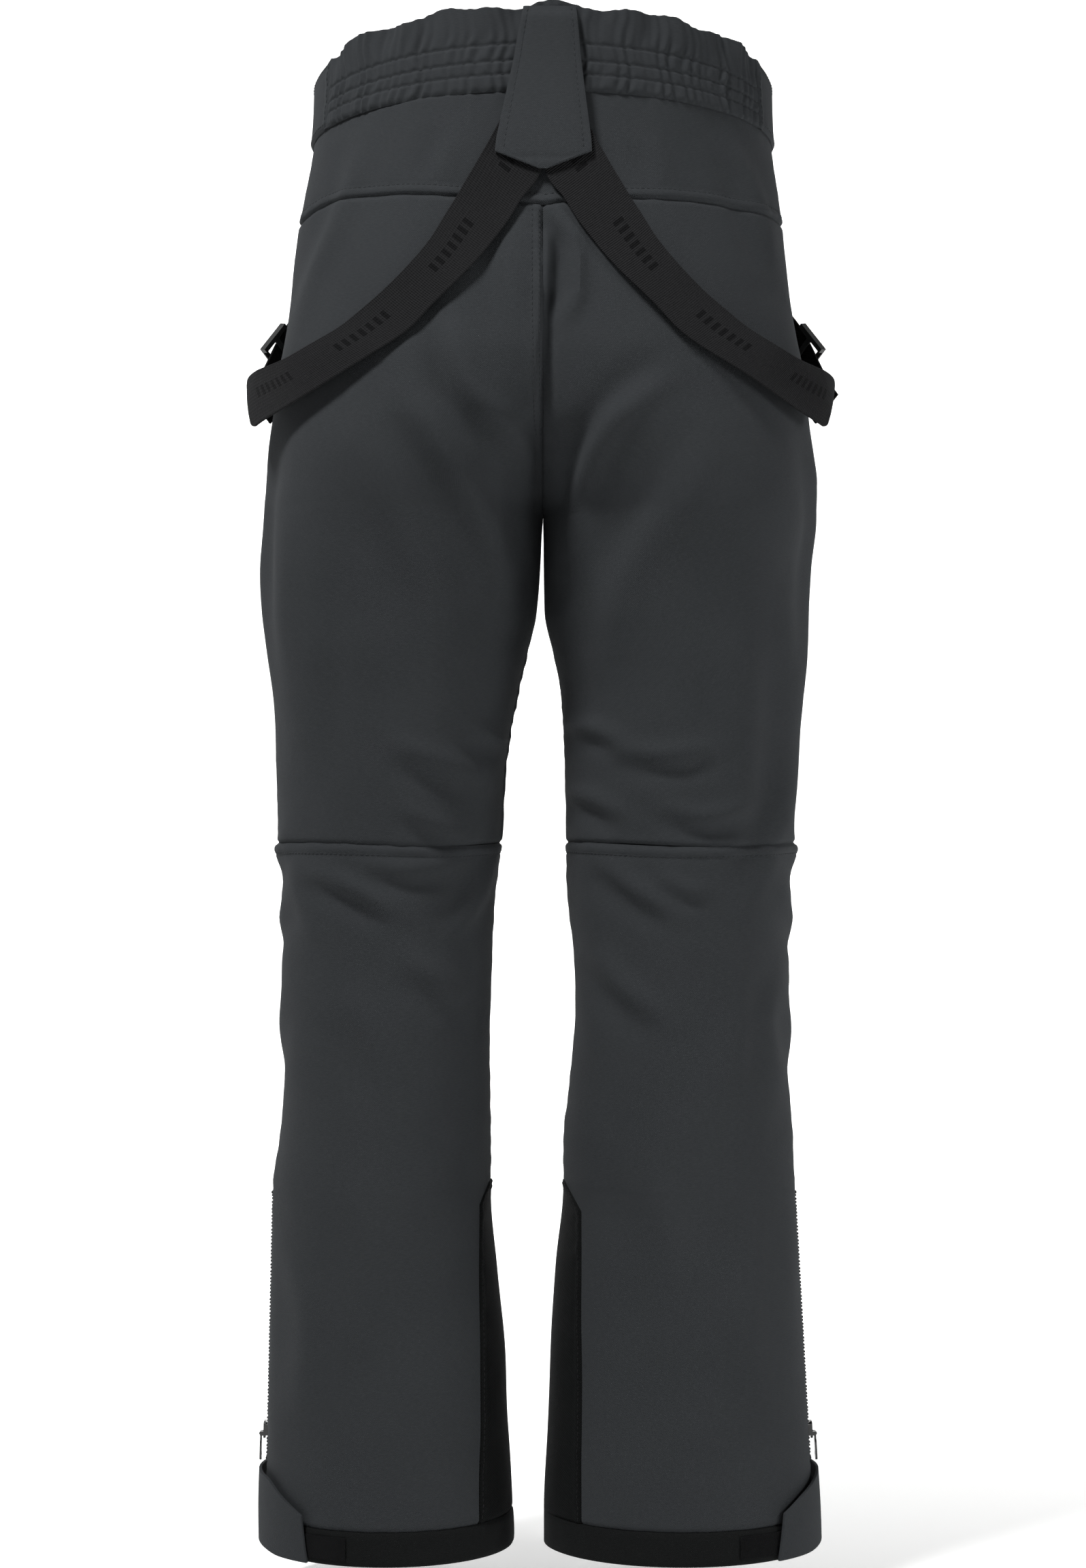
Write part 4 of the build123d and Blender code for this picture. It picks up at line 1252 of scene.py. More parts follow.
# ---------------------------------------------------------------- waistband
@dataclass
class Waistband:
    """Shirred back with three elastic channels and a frill above them, and two plain fronts."""

    wrap: float = -45.0
    overlap: float = 5.0
    half_run: float = 222.0
    full_height: float = 60.0
    lines: tuple = (0.20, 0.36, 0.56)
    bands: tuple = ((0.16, 0.29), (0.34, 0.47), (0.52, 0.65))
    proud: float = 2.0
    step: float = 1.7

    def spots(self, side: Side, share: np.ndarray, angle: np.ndarray, out: np.ndarray) -> np.ndarray:
        """Points of the band at a share of its height."""
        return FORM.spot(side, BAND_SEAM * (1 - share), angle, out)

    def lay(self, side: Side, share: np.ndarray, across: np.ndarray, depth: float,
            face: Face = Face.BACK) -> np.ndarray:
        """Angles of a grid from a depth at the side to the middle."""
        height = BAND_SEAM * (1 - share)
        start = face.value * FORM.side_angle(side, height, depth)
        return start + (FORM.across_angle(side, height, 0.0) - start) * across[None]

    def back(self) -> None:
        """Shirred back part, from hip to hip."""
        beside = [[line - 0.012, line, line + 0.012] for line in self.lines]
        rows = np.unique(np.concatenate([np.linspace(0, 1, 46), *beside]))
        across = np.linspace(0, 1, int(self.half_run / self.step))
        share = rows[:, None] + 0 * across[None]
        start = self.wrap + self.overlap
        left, right = [self.gathered(side, share, self.lay(side, share, across, start), across)
                       for side in Side]
        grids = joined_cuts(left, right)
        sheet("waistband_back_cloth", grids, Finish.BAND, "waistband_back", (0.48, 0.06), "gathered",
              sharp=60)
        self.back_grid = grids[0], grids[1], rows

    def gathered(self, side: Side, share: np.ndarray, angle: np.ndarray, across: np.ndarray) -> tuple:
        """Outer points, inner points and cut coordinates of one shirred half."""
        run = across[None] * self.half_run + 0 * share
        signed = side.value * (self.half_run - run)
        random = np.random.default_rng(5)
        ripple = np.zeros_like(run)
        for length, size in ((7.5, 0.9), (9.8, 1.0), (12.7, 0.9), (18.0, 0.6)):
            phase = random.uniform(0, math.tau)
            bend = 1.3 * np.sin(signed / 37.0 + phase) + 1.6 * np.sin(share * 9.0 + signed / 29.0)
            ripple += size * np.sin(signed * math.tau / length + phase + bend)
        ripple /= 2.0
        pinch = np.ones_like(share)
        for line in self.lines:
            pinch *= 1 - 0.72 * np.exp(-(((share - line) / 0.035) ** 2))
        pinch *= smoothstep(share, -0.03, 0.06)
        channels = 1 - smoothstep(share, self.lines[-1], 0.82)
        rise = 1.05 * ripple * pinch * (0.35 + 0.65 * channels)
        for line in self.lines:
            rise -= 0.9 * np.exp(-(((share - line) / 0.02) ** 2))
        rise -= 1.6 * np.exp(-((share / 0.03) ** 2))
        frill = smoothstep(share, self.lines[-1], 1.0)
        slow = np.sin(signed * math.tau / 58 + 0.7) + 0.7 * np.sin(signed * math.tau / 37 + 2.0) \
            + 0.5 * np.sin(signed * math.tau / 101)
        rise += frill * (1.5 * slow + 0.2 * ripple + 1.0)
        edge_drop = 1.8 * np.sin(signed * math.tau / 83 + 1.0) + 0.8 * np.sin(signed * math.tau / 47)
        edge_drop *= frill ** 3
        tucked = smoothstep(run, 3.0, 13.0)
        out = self.proud + rise * tucked - 1.0 * (1 - tucked)
        under = np.minimum(out - 1.6, -0.9) * (1 - frill) + (out - 2.6) * frill
        outer, inner = self.spots(side, share, angle, out), self.spots(side, share, angle, under)
        for grid in (outer, inner):
            grid[..., 2] += edge_drop * tucked
        return outer, inner, cut_map(run - self.half_run, share * self.full_height)

    def fronts(self) -> None:
        """Plain front halves, and the stitching of the whole band."""
        rows, across = seam_steps(42, 2.6), seam_steps(215, 3.0)
        share = rows[:, None] + 0 * across[None]
        seams = {"start": Seam.STITCHED, "end": Seam.PLAIN, "top": Seam.PLAIN, "bottom": Seam.PLAIN}
        stitches = Stitches("waistband_stitching")
        for side in Side:
            angle = self.lay(side, share, across, self.wrap, Face.FRONT)
            panel = Panel(side, Face.FRONT, BAND_SEAM * (1 - share), angle, seams, proud=self.proud + 0.4,
                          thick=4.6)
            node = f"waistband_front_{side.label}"
            width, length = panel.flat()
            sheet(node + "_cloth", panel.grids, Finish.SHELL, node, (width, length), "stretched",
                  measures={"area": min(panel.area(), width * length)})
            for edge in ("top", "bottom", "start"):
                stitches.along(*panel.line(edge, 3.4))
        outer, inner, rows = self.back_grid
        facing = facing_out(outer, inner)
        for line in self.lines:
            row = int(np.argmin(np.abs(rows - line)))
            stitches.along(outer[row], facing[row])
        stitches.build()

    def elastics(self) -> None:
        """Three ribbed elastics behind the channels, as one piece."""
        across = np.linspace(0, 1, 90)
        rows = np.concatenate([np.linspace(low, high, 7) for low, high in self.bands])
        share = rows[:, None] + 0 * across[None]
        rib = 0.15 * np.sin(across[None] * self.half_run * math.tau / 4.0)
        halves = []
        for side in Side:
            angle = self.lay(side, share, across, self.wrap)
            uv = cut_map(share * self.full_height, (across[None] - 1) * self.half_run * side.value)
            halves.append([*[self.spots(side, share, angle, rib - deep) for deep in (1.1, 2.5)], uv])
        mask = np.ones((len(share) - 1, 2 * len(across) - 2), bool)
        mask[[6, 13]] = False
        grids = [joined(*pair) for pair in zip(*halves)]
        sheet("waist_elastic_cloth", grids, Finish.ELASTIC, "waist_elastic", (0.44, 0.0234), "stretched",
              mask=mask)

    def build(self) -> None:
        """The whole waistband."""
        self.back()
        self.fronts()
        self.elastics()


# ---------------------------------------------------------------- braces
@dataclass
class Strip:
    """A flat strip of cloth that lies on one half, between cuts given as angle and height."""

    side: Side
    cuts: Sequence
    near: tuple
    thick: float
    columns: int = 13
    count: int = 120
    rounding: float = 0.0

    def angle_of(self, where: object, height: float) -> float:
        """Angle of a cut's end, given as a distance from the middle or as a turn in degrees."""
        if isinstance(where, tuple):
            return math.radians(where[1])
        return float(FORM.across_angle(self.side, np.array(float(height)), np.array(float(where))))

    def inset(self, edges: np.ndarray) -> np.ndarray:
        """Share of the width cut away at each row, so that the last corners are round."""
        middle = (edges[:, :2] + edges[:, 2:]) / 2
        run = np.concatenate([[0.0], np.cumsum(np.linalg.norm(np.diff(middle, axis=0), axis=1))])
        into = np.clip(run - run[-1] + self.rounding, 0.0, self.rounding)
        width = np.linalg.norm(edges[:, 2:] - edges[:, :2], axis=1)
        return ((self.rounding - np.sqrt(self.rounding ** 2 - into ** 2)) / width)[:, None]

    def grids(self, lift: Callable) -> tuple[np.ndarray, np.ndarray, np.ndarray]:
        """Outer points, inner points and cut coordinates.

        Args:
            lift: Gives the height above the plain strip from the two shares, across and along.

        Returns:
            Three grids.
        """
        ends = [[(self.angle_of(*end), end[1]) for end in cut] for cut in self.cuts]
        radius = 150.0
        path = [(up[0] * radius, up[1], low[0] * radius, low[1]) for up, low in ends]
        edges = curve_through(path, self.count)
        share = np.linspace(0, 1, self.columns)
        inset = self.inset(edges)
        place = inset + (1 - 2 * inset) * share[None]
        angle = (edges[:, :1] + (edges[:, 2:3] - edges[:, :1]) * place) / radius
        height = edges[:, 1:2] + (edges[:, 3:4] - edges[:, 1:2]) * place
        base = FORM.spot(self.side, height, angle)
        cloth = DRAPE.lift(base, angle)
        along = np.linspace(0, 1, self.count)[:, None] + 0 * share[None]
        extra = lift(share[None] + 0 * along, along) + np.maximum(cloth, -1.0) * 0.8
        wide, deep = self.near
        outer, inner = [FORM.spot(self.side, height, angle, deep + up + extra, wide + up + extra)
                        for up in (self.thick, 0.0)]
        step = np.linalg.norm(np.diff(outer, axis=0), axis=-1)
        run = np.concatenate([np.zeros((1, self.columns)), np.cumsum(step, axis=0)])
        middle = outer[self.count // 2]
        width = float(np.linalg.norm(middle[-1] - middle[0]))
        return outer, inner, cut_map(share[None] * width, run)


STRAP_CUTS = (
    ((19, -46), (0, -62)),
    ((31, -63), (1, -79)),
    ((40, -75), (13, -98)),
    ((49, -88), (22, -114)),
    ((58, -104), (34, -131)),
    ((69, -124), (43, -143)),
    ((94, -155), (69, -171)),
    ((113, -172), (87, -190)),
    ((132, -187), (108, -205)),
    ((163, -203), (146, -229)),
    ((("turn", 18), -207), (("turn", 33), -243)),
    ((("turn", 5), -211), (("turn", 24), -249)),
)


@dataclass
class Braces:
    """Wide elastic straps from the back tab round the hips, narrower webbing up to the front."""

    strap_thick: float = 2.0
    near: tuple = (18.0, 1.5)
    web_start: tuple = (110.0, 98.0, -72.0)
    web_end: tuple = (217.0, 19.0, -226.0)
    web_wide: float = 30.0
    web_thick: float = 1.6
    web_free: float = 10.0
    web_tuck: float = 11.0

    def strap(self, side: Side) -> None:
        """Wide elastic with thick selvedges and a gentle twist."""
        strip = Strip(side, STRAP_CUTS, self.near, self.strap_thick, columns=17, count=210, rounding=7.0)

        def lift(across: np.ndarray, along: np.ndarray) -> np.ndarray:
            """Cupped middle and a lazy ripple."""
            cup = -0.5 * np.sin(np.pi * across)
            ripple = 0.8 * np.sin(along * 21) * smoothstep(along, 0.1, 0.3)
            selvedge = 0.25 * (np.exp(-((across / 0.07) ** 2)) + np.exp(-(((1 - across) / 0.07) ** 2)))
            return cup + ripple + selvedge + 0.6

        outer, inner, uv = strip.grids(lift)
        name = f"{side.label}_brace_strap"
        piece = shell(name + "_elastic", outer, inner, uv, Finish.PRINTED)
        bevel(piece, 0.5)
        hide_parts(name)
        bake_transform(piece)

    def web_axes(self, side: Side) -> tuple[np.ndarray, np.ndarray, np.ndarray, np.ndarray, float]:
        """Start, upward, outward and crosswise directions, and length of the front webbing."""
        start = np.array([side.value * self.web_start[0], *self.web_start[1:]])
        end = np.array([side.value * self.web_end[0], *self.web_end[1:]])
        length = float(np.linalg.norm(start - end))
        up = (start - end) / length
        out = np.array([side.value * 0.78, 0.63, 0.0])
        out -= up * (out @ up)
        out /= np.linalg.norm(out)
        return start, up, out, np.cross(up, out), length

    def web(self, side: Side) -> None:
        """Front webbing, woven narrower, with its sewn end on the strap."""
        start, up, out, across, length = self.web_axes(side)
        run = np.linspace(self.web_free, length, 90)
        share = np.linspace(-0.5, 0.5, 11)
        bow = 1.2 * np.sin(np.pi * run / length)
        centre = start[None] - up[None] * run[:, None] + out[None] * bow[:, None]
        tuck = smoothstep(run, 0.62 * length, length)[:, None]
        centre -= tuck * np.array([side.value * self.web_tuck, 0.0, 0.0])
        grid = centre[:, None] + across[None, None] * (share * self.web_wide)[None, :, None]
        half = out * (self.web_thick / 2 + 0.25 * np.abs(share * 2) ** 6)[None, :, None]
        uv = cut_map((share * self.web_wide)[None], run[:, None])
        name = f"{side.label}_front_webbing"
        sheet(name + "_cloth", (grid + half, grid - half, uv), Finish.WEBBING, name,
              (self.web_wide * MM, (length - self.web_free) * MM), "hung", f"{side.label}_brace", 0.4)

    def tab(self) -> None:
        """Cloth tab that covers the crossing of the straps."""
        tip, point, top = -77.5, -65, 36
        outline = ((top, -13.5, 22.5), (33, -14, 23), (18, -17, 24.5), (0, -20, 26), (-32, -27, 30),
                   (-56, -32, 33), (point, -33, 33.5), (-71, -19, 19), (tip, -3, 3))
        path = np.array(outline, float)[::-1]
        rows = np.concatenate([np.linspace(tip, point, 9), np.linspace(point, top, 48)[1:]])
        left, right = np.interp(rows, path[:, 0], path[:, 1]), np.interp(rows, path[:, 0], path[:, 2])
        share = np.concatenate([[0, 0.02, 0.05], np.linspace(0.09, 0.91, 21), [0.95, 0.98, 1]])
        x = left[:, None] + (right - left)[:, None] * share[None]
        level = np.clip((rows - tip) / (top - tip), 0, 1)[:, None] + 0 * x
        height = np.where(rows > -24, (rows - 36) * 42 / 60, -42 + (rows + 24) * 50 / 74)[:, None] + 0 * x
        height = np.clip(height, -91, 0)
        angle = FORM.across_angle(Side.RIGHT, height, np.abs(x))
        rim = np.minimum(np.minimum(x - left[:, None], right[:, None] - x), (rows - tip)[:, None] * 0.6)
        fall = -0.5 * np.exp(-(((rim - 4.6) / 1.2) ** 2)) + 0.5 * smoothstep(rim, 0, 2)
        fold = smoothstep(rows, 28, 36)[:, None]
        out = 5.4 + 1.3 * np.sin(level * 5.2 + 0.6) * 0.5 + fall - 2.2 * fold
        outer, inner = [np.stack([x, FORM.spot(Side.RIGHT, height, angle, out + up)[..., 1],
                                  rows[:, None] + 0 * x], axis=-1) for up in (2.2, 0.0)]
        sheet("brace_tab_cloth", (outer, inner, cut_map(x, rows[:, None])), Finish.SHELL, "brace_tab",
              (0.067, 0.1135), "hung", rounded=0.6, measures={"area": 0.0059})
        stitches = Stitches("brace_tab_stitching")
        facing = facing_out(outer, inner)
        for place in (0.09, 0.91):
            column = int(np.argmin(np.abs(share - place)))
            stitches.along(outer[8:, column], facing[8:, column])
        stitches.build()

    def build(self) -> None:
        """Tab, straps and webbing."""
        self.tab()
        for side in Side:
            self.strap(side)
            self.web(side)


# ---------------------------------------------------------------- hem fastening
@dataclass
class HemTabs:
    """Hem tabs with hook patches, and the loop patches that they press on."""

    def strip(self, side: Side, node: str, ending: str, cuts: Sequence, near: float, thick: float,
              finish: Finish, flat: tuple, body: str = PANTS) -> None:
        """One strip near the hem."""
        made = Strip(side, cuts, (near, near), thick, columns=15, count=60)
        grids = made.grids(lambda across, along: 0.25 * np.sin(np.pi * across) + 0 * along)
        sheet(node + ending, grids, finish, node, flat, "stretched", body, 0.4 if thick > 1.5 else 0.25,
              {"area": flat[0] * flat[1] * 0.92})

    def build(self) -> None:
        """All six strips."""
        tab = (((("turn", -16), -988), (("turn", -16), -1036)), ((("turn", 0), -988), (("turn", 0), -1038)),
               ((192, -989), (192, -1040)), ((180, -999), (181, -1041.5)), ((166, -1009), (162, -1041.5)))
        loop = tuple(((x, -1022), (x, -1038)) for x in (186, 170, 154, 137))
        hook = (((190, -1020), (190, -1037)), ((181, -1018), (181, -1039)), ((168, -1018), (166, -1039)))
        for side in Side:
            label = side.label
            moving = f"{label}_hem_tab"
            self.strip(side, f"{label}_loop_patch", "_pile", loop, 0.75, 1.0, Finish.LOOP, (0.062, 0.016))
            self.strip(side, f"{label}_hook_patch", "_pile", hook, 2.1, 0.9, Finish.HOOK, (0.04, 0.021),
                       moving)
            self.strip(side, moving, "_cloth", tab, 3.2, 2.2, Finish.SHELL, (0.104, 0.048), moving)


# ---------------------------------------------------------------- zips, pockets and gaiters
@dataclass(frozen=True)
class ZipLine:
    """Where a zip lies on the cloth's face, which way it looks, and the nodes it stands for."""

    name: str
    bottom: tuple
    top: tuple
    outward: tuple
    nodes: tuple

    def place(self) -> tuple[np.ndarray, np.ndarray, float]:
        """Origin, axes (out, across, along) and length, as the CAD part lays them."""
        bottom, top, outward = (np.array(v, float) for v in (self.bottom, self.top, self.outward))
        length = float(np.linalg.norm(top - bottom))
        along = (top - bottom) / length
        across = np.cross(along, outward)
        across /= np.linalg.norm(across)
        out = np.cross(across, along)
        return bottom - out, np.stack([out, across, along]), length


ZIPS = (
    ZipLine("left_leg", (-198.37, -2, LEG_ZIP[0]), (-194.1, -2, LEG_ZIP[1]), (-1, 0, 0),
            ("left_leg_zip_tapes", "left_leg_zip_teeth")),
    ZipLine("right_leg", (192.0, -2, LEG_ZIP[0]), (181.2, -2, LEG_ZIP[1]), (1, 0, 0),
            ("right_leg_zip_tapes", "right_leg_zip_teeth")),
    ZipLine("left_pocket", (-126.17, 95.17, POCKET_ZIP[0]), (-75.42, 99.2, POCKET_ZIP[1]), (-0.38, 0.92, 0),
            ("left_pocket_zip",)),
    ZipLine("right_pocket", (123.17, 95.17, POCKET_ZIP[0]), (75.42, 99.2, POCKET_ZIP[1]), (0.38, 0.92, 0),
            ("right_pocket_zip",)),
    ZipLine("fly", (0, 109.83, FLY_ZIP[0]), (0, 110.56, FLY_ZIP[1]), (0, 1, 0), ("fly_zip",)),
)


@dataclass
class Zips:
    """Tapes, teeth and end stops of the five zips, and the cloth channels behind three of them."""

    tape_thick: float = 1.2
    tape_half: float = 9.0
    pitch: float = 2.5
    tooth: tuple = (1.8, 3.4, 1.5)

    def tooth_mesh(self) -> tuple[np.ndarray, np.ndarray]:
        """One moulded tooth, modelled once as a bevelled block; the waisted head is not modelled."""
        deep, wide, tall = self.tooth
        bpy.ops.mesh.primitive_cube_add(size=1, location=(deep / 2, wide / 2 - 0.8, 0))
        block = bpy.context.object
        block.dimensions = (deep, wide, tall)
        bpy.ops.object.transform_apply(location=True, rotation=False, scale=True)
        bpy.ops.object.mode_set(mode="EDIT")
        bpy.ops.mesh.select_all(action="SELECT")
        bpy.ops.mesh.bevel(offset=0.35, segments=1, affect="EDGES")
        bpy.ops.object.mode_set(mode="OBJECT")
        points = np.array([v.co for v in block.data.vertices])
        faces = [list(p.vertices) for p in block.data.polygons]
        bpy.data.objects.remove(block)
        return points, np.array([face if len(face) == 4 else [*face, face[-1]] for face in faces])

    def teeth(self, line: ZipLine) -> None:
        """Two rows of teeth that mesh at the middle."""
        origin, axes, length = line.place()
        points, quads = self.tooth_mesh()
        verts, faces = [], []
        for k in range(int((length - 6) / self.pitch) + 1):
            way = 1 if k % 2 else -1
            moved = points * np.array([1, way, 1]) + np.array([0, 0, 3 + k * self.pitch])
            verts.append(origin + moved @ axes)
            turned = quads if way > 0 else quads[:, ::-1]
            faces.append(turned + k * len(points))
        for end in (1.5, length - 1.5):
            stop = points * np.array([1.15, 1.6, 1.3]) + np.array([0, -1.2, end])
            verts.append(origin + stop @ axes)
            faces.append(quads + len(verts) * len(points) - len(points))
        verts, faces = np.concatenate(verts), np.concatenate(faces)
        mesh = bpy.data.meshes.new(f"{line.name}_zip_row")
        mesh.from_pydata((verts * MM).tolist(), [], [list(dict.fromkeys(f)) for f in faces.tolist()])
        mesh.update()
        mesh.materials.append(Finish.TEETH.material())
        sewn(linked(mesh.name, mesh), line.nodes[-1:])

    def tapes(self, line: ZipLine) -> None:
        """Two twill tapes with a corded edge beside the teeth."""
        origin, axes, length = line.place()
        for way, label in ((-1, "a"), (1, "b")):
            across = np.array([0.35, 0.7, 1.2, 1.9, 2.6, 3.4, 5.0, 7.0, self.tape_half - 0.6, self.tape_half])
            cord = 0.75 * np.exp(-(((across - 1.9) / 0.8) ** 2))
            run = np.linspace(-2.0, length + 2.0, int(length / 4))
            wave = 0.12 * np.sin(run / 6.0 + way)[:, None] * smoothstep(across, 2, 6)[None]
            grids = []
            for deep in (-0.15 + cord[None], -self.tape_thick):
                local = np.stack(np.broadcast_arrays(deep + wave, way * across[None], run[:, None]), axis=-1)
                grids.append(origin + local @ axes)
            sheet(f"{line.name}_zip_tape_{label}", (*grids, cut_map(across[None], run[:, None])), Finish.TAPE,
                  line.nodes[0], (0.0105, (length + 4) * MM), "stretched")

    def channel(self, line: ZipLine, node: str, half: float, finish: Finish) -> None:
        """Folded cloth behind a zip, open towards it."""
        origin, axes, length = line.place()
        near, far, corner = -5.0, -8.7, 2.4
        path = curve_through(((near, -half), (far + 2.2, -half), (far, corner - half), (far - 0.1, 0),
                              (far, half - corner), (far + 2.2, half), (near, half)), 33)
        run = np.linspace(0, length, int(length / 4))[:, None]
        tangent = np.gradient(path, axis=0)
        facing = np.stack([tangent[:, 1], -tangent[:, 0]], axis=1)
        facing /= np.linalg.norm(facing, axis=1, keepdims=True)
        ripple = (0.18 * np.sin(run / 7.0) + 0.12 * np.sin(run / 3.1 + 1))[..., None]
        grids = []
        for deep in (-0.6, 0.4):
            flat = path[None] + facing[None] * (deep + ripple)
            local = np.concatenate([flat, np.broadcast_to(run[..., None], (*flat.shape[:2], 1))], axis=2)
            grids.append(origin + local @ axes)
        wide = np.concatenate([[0], np.cumsum(np.linalg.norm(np.diff(path, axis=0), axis=1))])
        flat = (wide[-1] * MM, length * MM)
        sheet(node + "_cloth", (*grids, cut_map(wide[None], run)), finish, node, flat, "folded")

    def build(self) -> None:
        """All the zips."""
        bpy.ops.object.select_all(action="DESELECT")
        for line in ZIPS:
            self.tapes(line)
            self.teeth(line)
        self.channel(ZIPS[0], "left_leg_gusset", 10.6, Finish.LINING)
        self.channel(ZIPS[1], "right_leg_gusset", 10.6, Finish.LINING)
        self.channel(ZIPS[4], "fly_placket", 11.6, Finish.SHELL)


@dataclass
class Inside:
    """Pocket bags, snow gaiters and their elastics, and the braces' sewn ends."""

    cuff_radius: float = 65.0
    cuff_middle: dict = field(default_factory=lambda: {Side.LEFT: -110.0, Side.RIGHT: 97.8})

    def bags(self) -> None:
        """Flat pocket bags behind the front thighs."""
        rows, columns = np.linspace(-74, -235, 40), np.radians(np.linspace(-42, -74, 22))
        height, angle = np.meshgrid(rows, columns, indexing="ij")
        halves = []
        for side in Side:
            base = FORM.spot(side, height, angle)
            pillow = 0.4 * np.sin(base[..., 0] / 9.0) * np.sin(base[..., 2] / 14.0)
            walls = [FORM.spot(side, height, angle, pillow - deep) for deep in (9.2, 10.4)]
            halves.append([*walls, base[..., [0, 2]]])
        grids = [np.concatenate(pair) for pair in zip(*halves)]
        mask = np.ones((2 * len(rows) - 1, len(columns) - 1), bool)
        mask[len(rows) - 1] = False
        sheet("pocket_bags_cloth", grids, Finish.LINING, "pocket_bags", (0.14, 0.165), "hung", mask=mask)

    def ring(self, side: Side, radius: np.ndarray, angle: np.ndarray, height: np.ndarray) -> np.ndarray:
        """Points of a round cuff about the ankle."""
        x = self.cuff_middle[side] + side.value * radius * np.cos(angle)
        return np.stack([x, -2 - radius * np.sin(angle), height], axis=-1)

    def gaiter(self, side: Side) -> None:
        """Snow gaiter, gathered at its elastic, and the elastic inside it."""
        turns = np.radians(np.arange(0, 360, 2.5))
        rows = np.concatenate([np.linspace(-830, -850, 4), np.linspace(-850, -1005, 34)[1:],
                               np.linspace(-1005, -1030, 9)[1:]])
        height, angle = np.meshgrid(rows, turns, indexing="ij")
        wrapped = np.where(turns > math.pi, turns - math.tau, turns)
        beside_zip = 7.0 * np.exp(-((wrapped / 0.24) ** 2))[None]
        share = smoothstep(-height, 850, 1005)
        gathers = smoothstep(-height, 950, 1008) * (1 - 0.5 * smoothstep(-height, 1026, 1030))
        ripple = 0.8 * np.sin(angle * 40 + np.sin(angle * 7)) * gathers
        ripple += 4.0 * np.sin(height / 9.0) * np.sin(angle * 3) * share * (1 - share)
        gap = np.interp(-height, (830, 850), (5.6, 12.2)) + beside_zip
        grids = []
        for wall in (0.0, 0.9):
            upper = FORM.spot(side, height, angle, -gap - wall)
            cuff = self.ring(side, self.cuff_radius - wall + ripple, angle, height)
            grids.append(upper * (1 - share[..., None]) + cuff * share[..., None])
        around = np.append(turns, math.tau) * 80
        name = f"{side.label}_gaiter"
        sheet(name + "_cloth", (*grids, cut_map(around[None], rows[:, None])), Finish.LINING, name,
              (0.47, 0.2), "gathered", ring=True)
        levels = np.linspace(-1028, -1014, 8)
        height, angle = np.meshgrid(levels, turns, indexing="ij")
        rib = 0.18 * np.sin(angle * 72)
        rings = [self.ring(side, radius + rib, angle, height) for radius in (63.1, 61.7)]
        sheet(f"{name}_elastic_ring", (*rings, cut_map(levels[:, None], around[None])), Finish.ELASTIC,
              "gaiter_elastics", (0.392, 0.014), "stretched", ring=True)

    def anchors(self, side: Side) -> None:
        """Webbing sewn on the front waistband, that hangs down over the start of the brace's webbing."""
        rows, columns = np.linspace(0.72, 0.14, 24), np.radians(np.linspace(-46, -61, 14))
        share, angle = np.meshgrid(rows, columns, indexing="ij")
        braces = Braces()
        start, up, away, across, _ = braces.web_axes(side)
        width = np.linspace(-0.5, 0.5, len(columns))
        low_end = (start - up * 15.0)[None] + across[None] * (width * side.value * braces.web_wide)[:, None]
        down = np.linspace(0, 1, 24)[1:, None, None]
        grids = []
        for out, over in ((4.6, 3.2), (2.7, 1.4)):
            sewn_part = FORM.spot(side, BAND_SEAM * (1 - share), angle, out)
            hanging = sewn_part[-1] * (1 - down) + (low_end + away * over) * down
            hanging += away * 1.6 * np.sin(np.pi * down)
            grids.append(np.concatenate([sewn_part, hanging]))
        along = np.concatenate([rows * 42, rows[-1] * 42 - down[:, 0, 0] * 52])
        sheet(f"{side.label}_brace_anchor_webbing", (*grids, cut_map((width * 30)[None], along[:, None])),
              Finish.WEBBING, "brace_anchors", (0.033, 0.077), "stretched", rounded=0.4)

    def build(self) -> None:
        """Everything inside, and the braces' sewn ends."""
        self.bags()
        for side in Side:
            self.gaiter(side)
            self.anchors(side)


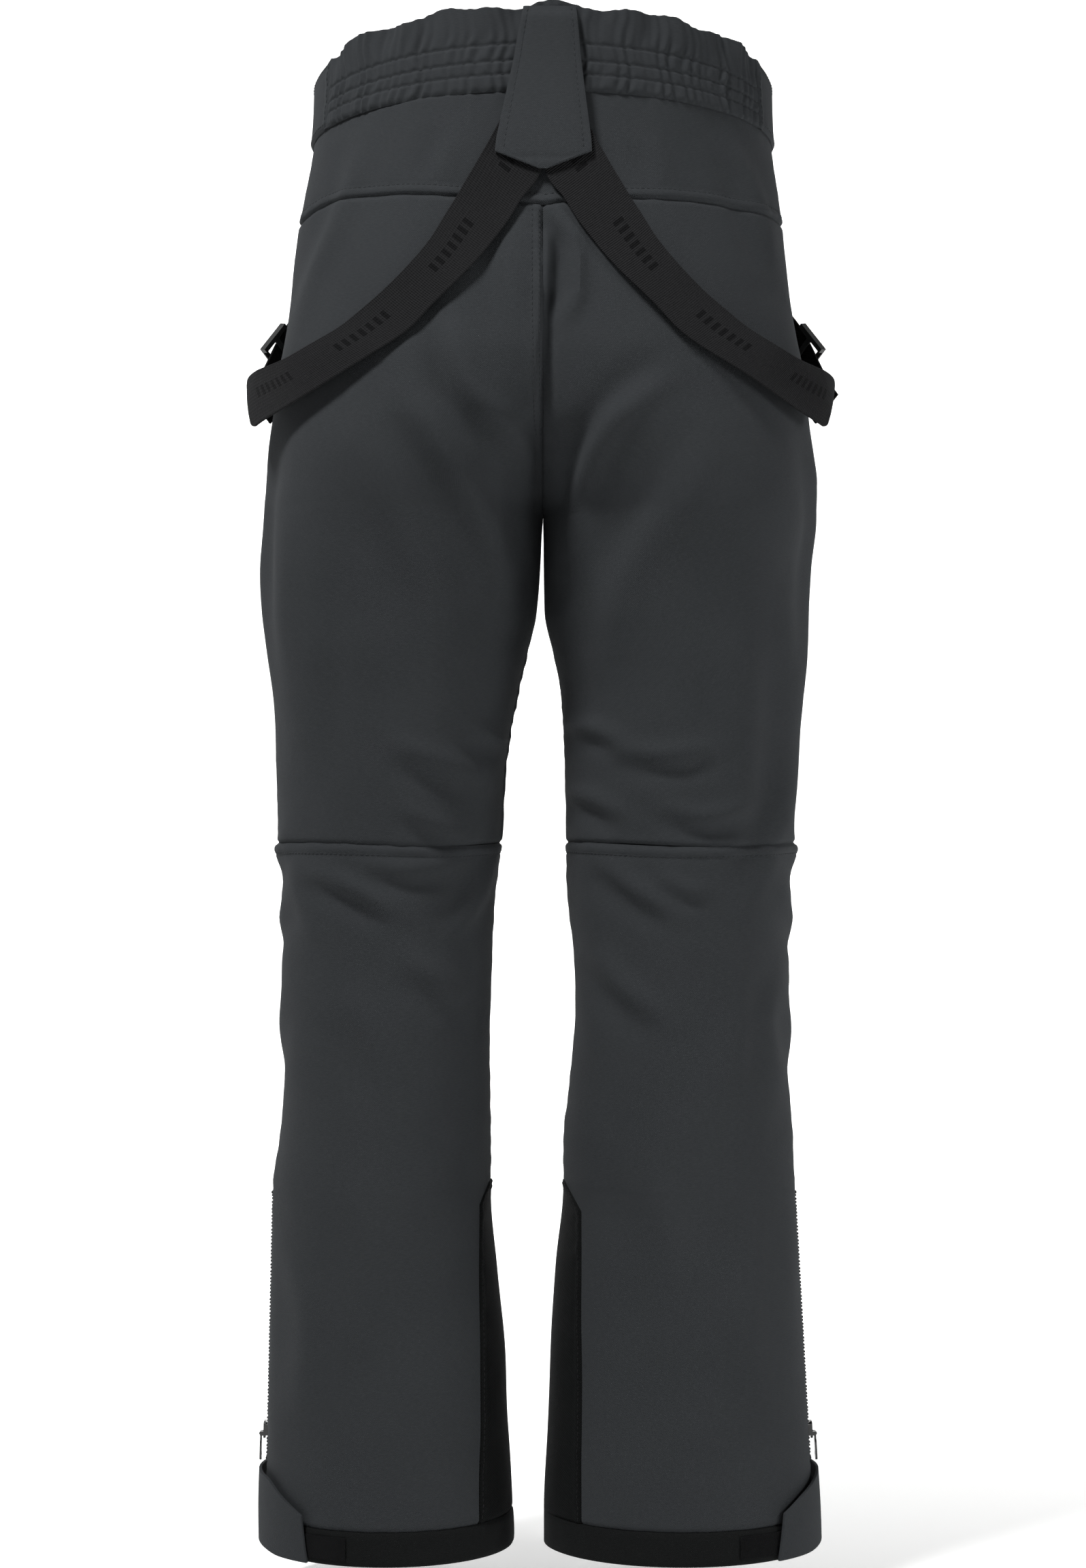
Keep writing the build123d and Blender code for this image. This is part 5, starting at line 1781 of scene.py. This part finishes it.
# ---------------------------------------------------------------- studio
@dataclass
class Studio:
    """Camera, pale floor that sweeps up behind, and soft lights."""

    distance: float = 2.40
    eye: float = -0.498
    lens: float = 76.5
    floor: float = -1.075
    turn_start: float = 2.9
    turn_radius: float = 1.2
    half_width: float = 8.0
    room_light: float = 0.07

    def paper(self) -> bpy.types.Material:
        """Pale paper that glows a little more the farther behind the pants it lies."""
        nodes = Nodes("pale_paper")
        place = nodes.add("TexCoord").outputs["Object"]
        depth = nodes.add("SeparateXYZ", {0: place}).outputs[1]
        glow = nodes.span(depth, -0.3, 0.9, 0.12, 0.8)
        return nodes.done({
            "Base Color": linear("#f2f2f1"), "Roughness": 0.95, "Specular IOR Level": 0.1,
            "Emission Color": (1.0, 1.0, 1.0, 1.0), "Emission Strength": glow})

    def sweep(self) -> None:
        """Pale floor and backdrop in one curved sheet."""
        profile = [(-6.0, self.floor)]
        for k in range(13):
            turn = math.radians(90 * k / 12)
            profile.append((self.turn_start + self.turn_radius * math.sin(turn),
                            self.floor + self.turn_radius * (1 - math.cos(turn))))
        profile.append((self.turn_start + self.turn_radius, 5.0))
        verts = [(x, y, z) for y, z in profile for x in (-self.half_width, self.half_width)]
        faces = [(2 * i, 2 * i + 1, 2 * i + 3, 2 * i + 2) for i in range(len(profile) - 1)]
        mesh = bpy.data.meshes.new("sweep")
        mesh.from_pydata(verts, [], faces)
        mesh.polygons.foreach_set("use_smooth", [True] * len(faces))
        mesh.materials.append(self.paper())
        linked("sweep", mesh)

    def light(self, name: str, place: tuple, aim: tuple, size: float, power: float) -> None:
        """One soft area light."""
        data = bpy.data.lights.new(name, "AREA")
        data.shape = "DISK"
        data.size = size
        data.energy = power
        lamp = linked(name, data)
        lamp.location = place
        lamp.rotation_mode = "QUATERNION"
        lamp.rotation_quaternion = (Vector(aim) - Vector(place)).to_track_quat("-Z", "Y")

    def build(self) -> None:
        """The whole studio."""
        scene = bpy.context.scene
        scene.view_settings.view_transform = "Standard"
        world = bpy.data.worlds.new("soft_room")
        world.use_nodes = True
        room = world.node_tree.nodes["Background"]
        room.inputs[0].default_value = (1.0, 1.0, 1.0, 1.0)
        room.inputs[1].default_value = self.room_light
        scene.world = world
        self.sweep()
        self.light("key", (-1.05, -1.15, 1.9), (0, 0, -0.45), 0.6, 104)
        self.light("fill", (1.9, -0.95, -0.35), (0, 0, -0.6), 0.8, 20)
        self.light("back", (0.0, 2.0, 2.0), (0, 0, -0.4), 1.8, 20)
        data = bpy.data.cameras.new("camera")
        data.lens = self.lens
        data.sensor_width = 36
        camera = linked("camera", data)
        camera.location = (0.0, -self.distance, self.eye)
        camera.rotation_euler = (math.pi / 2, 0, 0)
        scene.camera = camera


def dress_cad_nodes() -> None:
    """Give the CAD nodes that stay their finishes and rounded edges."""
    finishes = {"slider": Finish.ENAMEL, "puller": Finish.ENAMEL, "adjuster": Finish.ACETAL,
                "snap": Finish.ENAMEL, "hooks": Finish.ACETAL}
    for name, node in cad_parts.items():
        finish = next((finish for word, finish in finishes.items() if word in name), None)
        if node.hide_render or finish is None:
            continue
        node.data.materials.clear()
        node.data.materials.append(finish.material())
        weld = node.modifiers.new("weld", "WELD")
        weld.merge_threshold = 0.002 * MM
        rounded = node.modifiers.new("edges", "BEVEL")
        rounded.width = 0.2 * MM
        rounded.segments = 2
        rounded.limit_method = "ANGLE"
        rounded.angle_limit = math.radians(40)


def main() -> None:
    """Build every piece in order, then the studio."""
    bpy.ops.object.select_all(action="DESELECT")
    Trousers().build()
    Lining().build()
    Waistband().build()
    Braces().build()
    HemTabs().build()
    Zips().build()
    Inside().build()
    dress_cad_nodes()
    Studio().build()


if __name__ == "__main__":
    main()
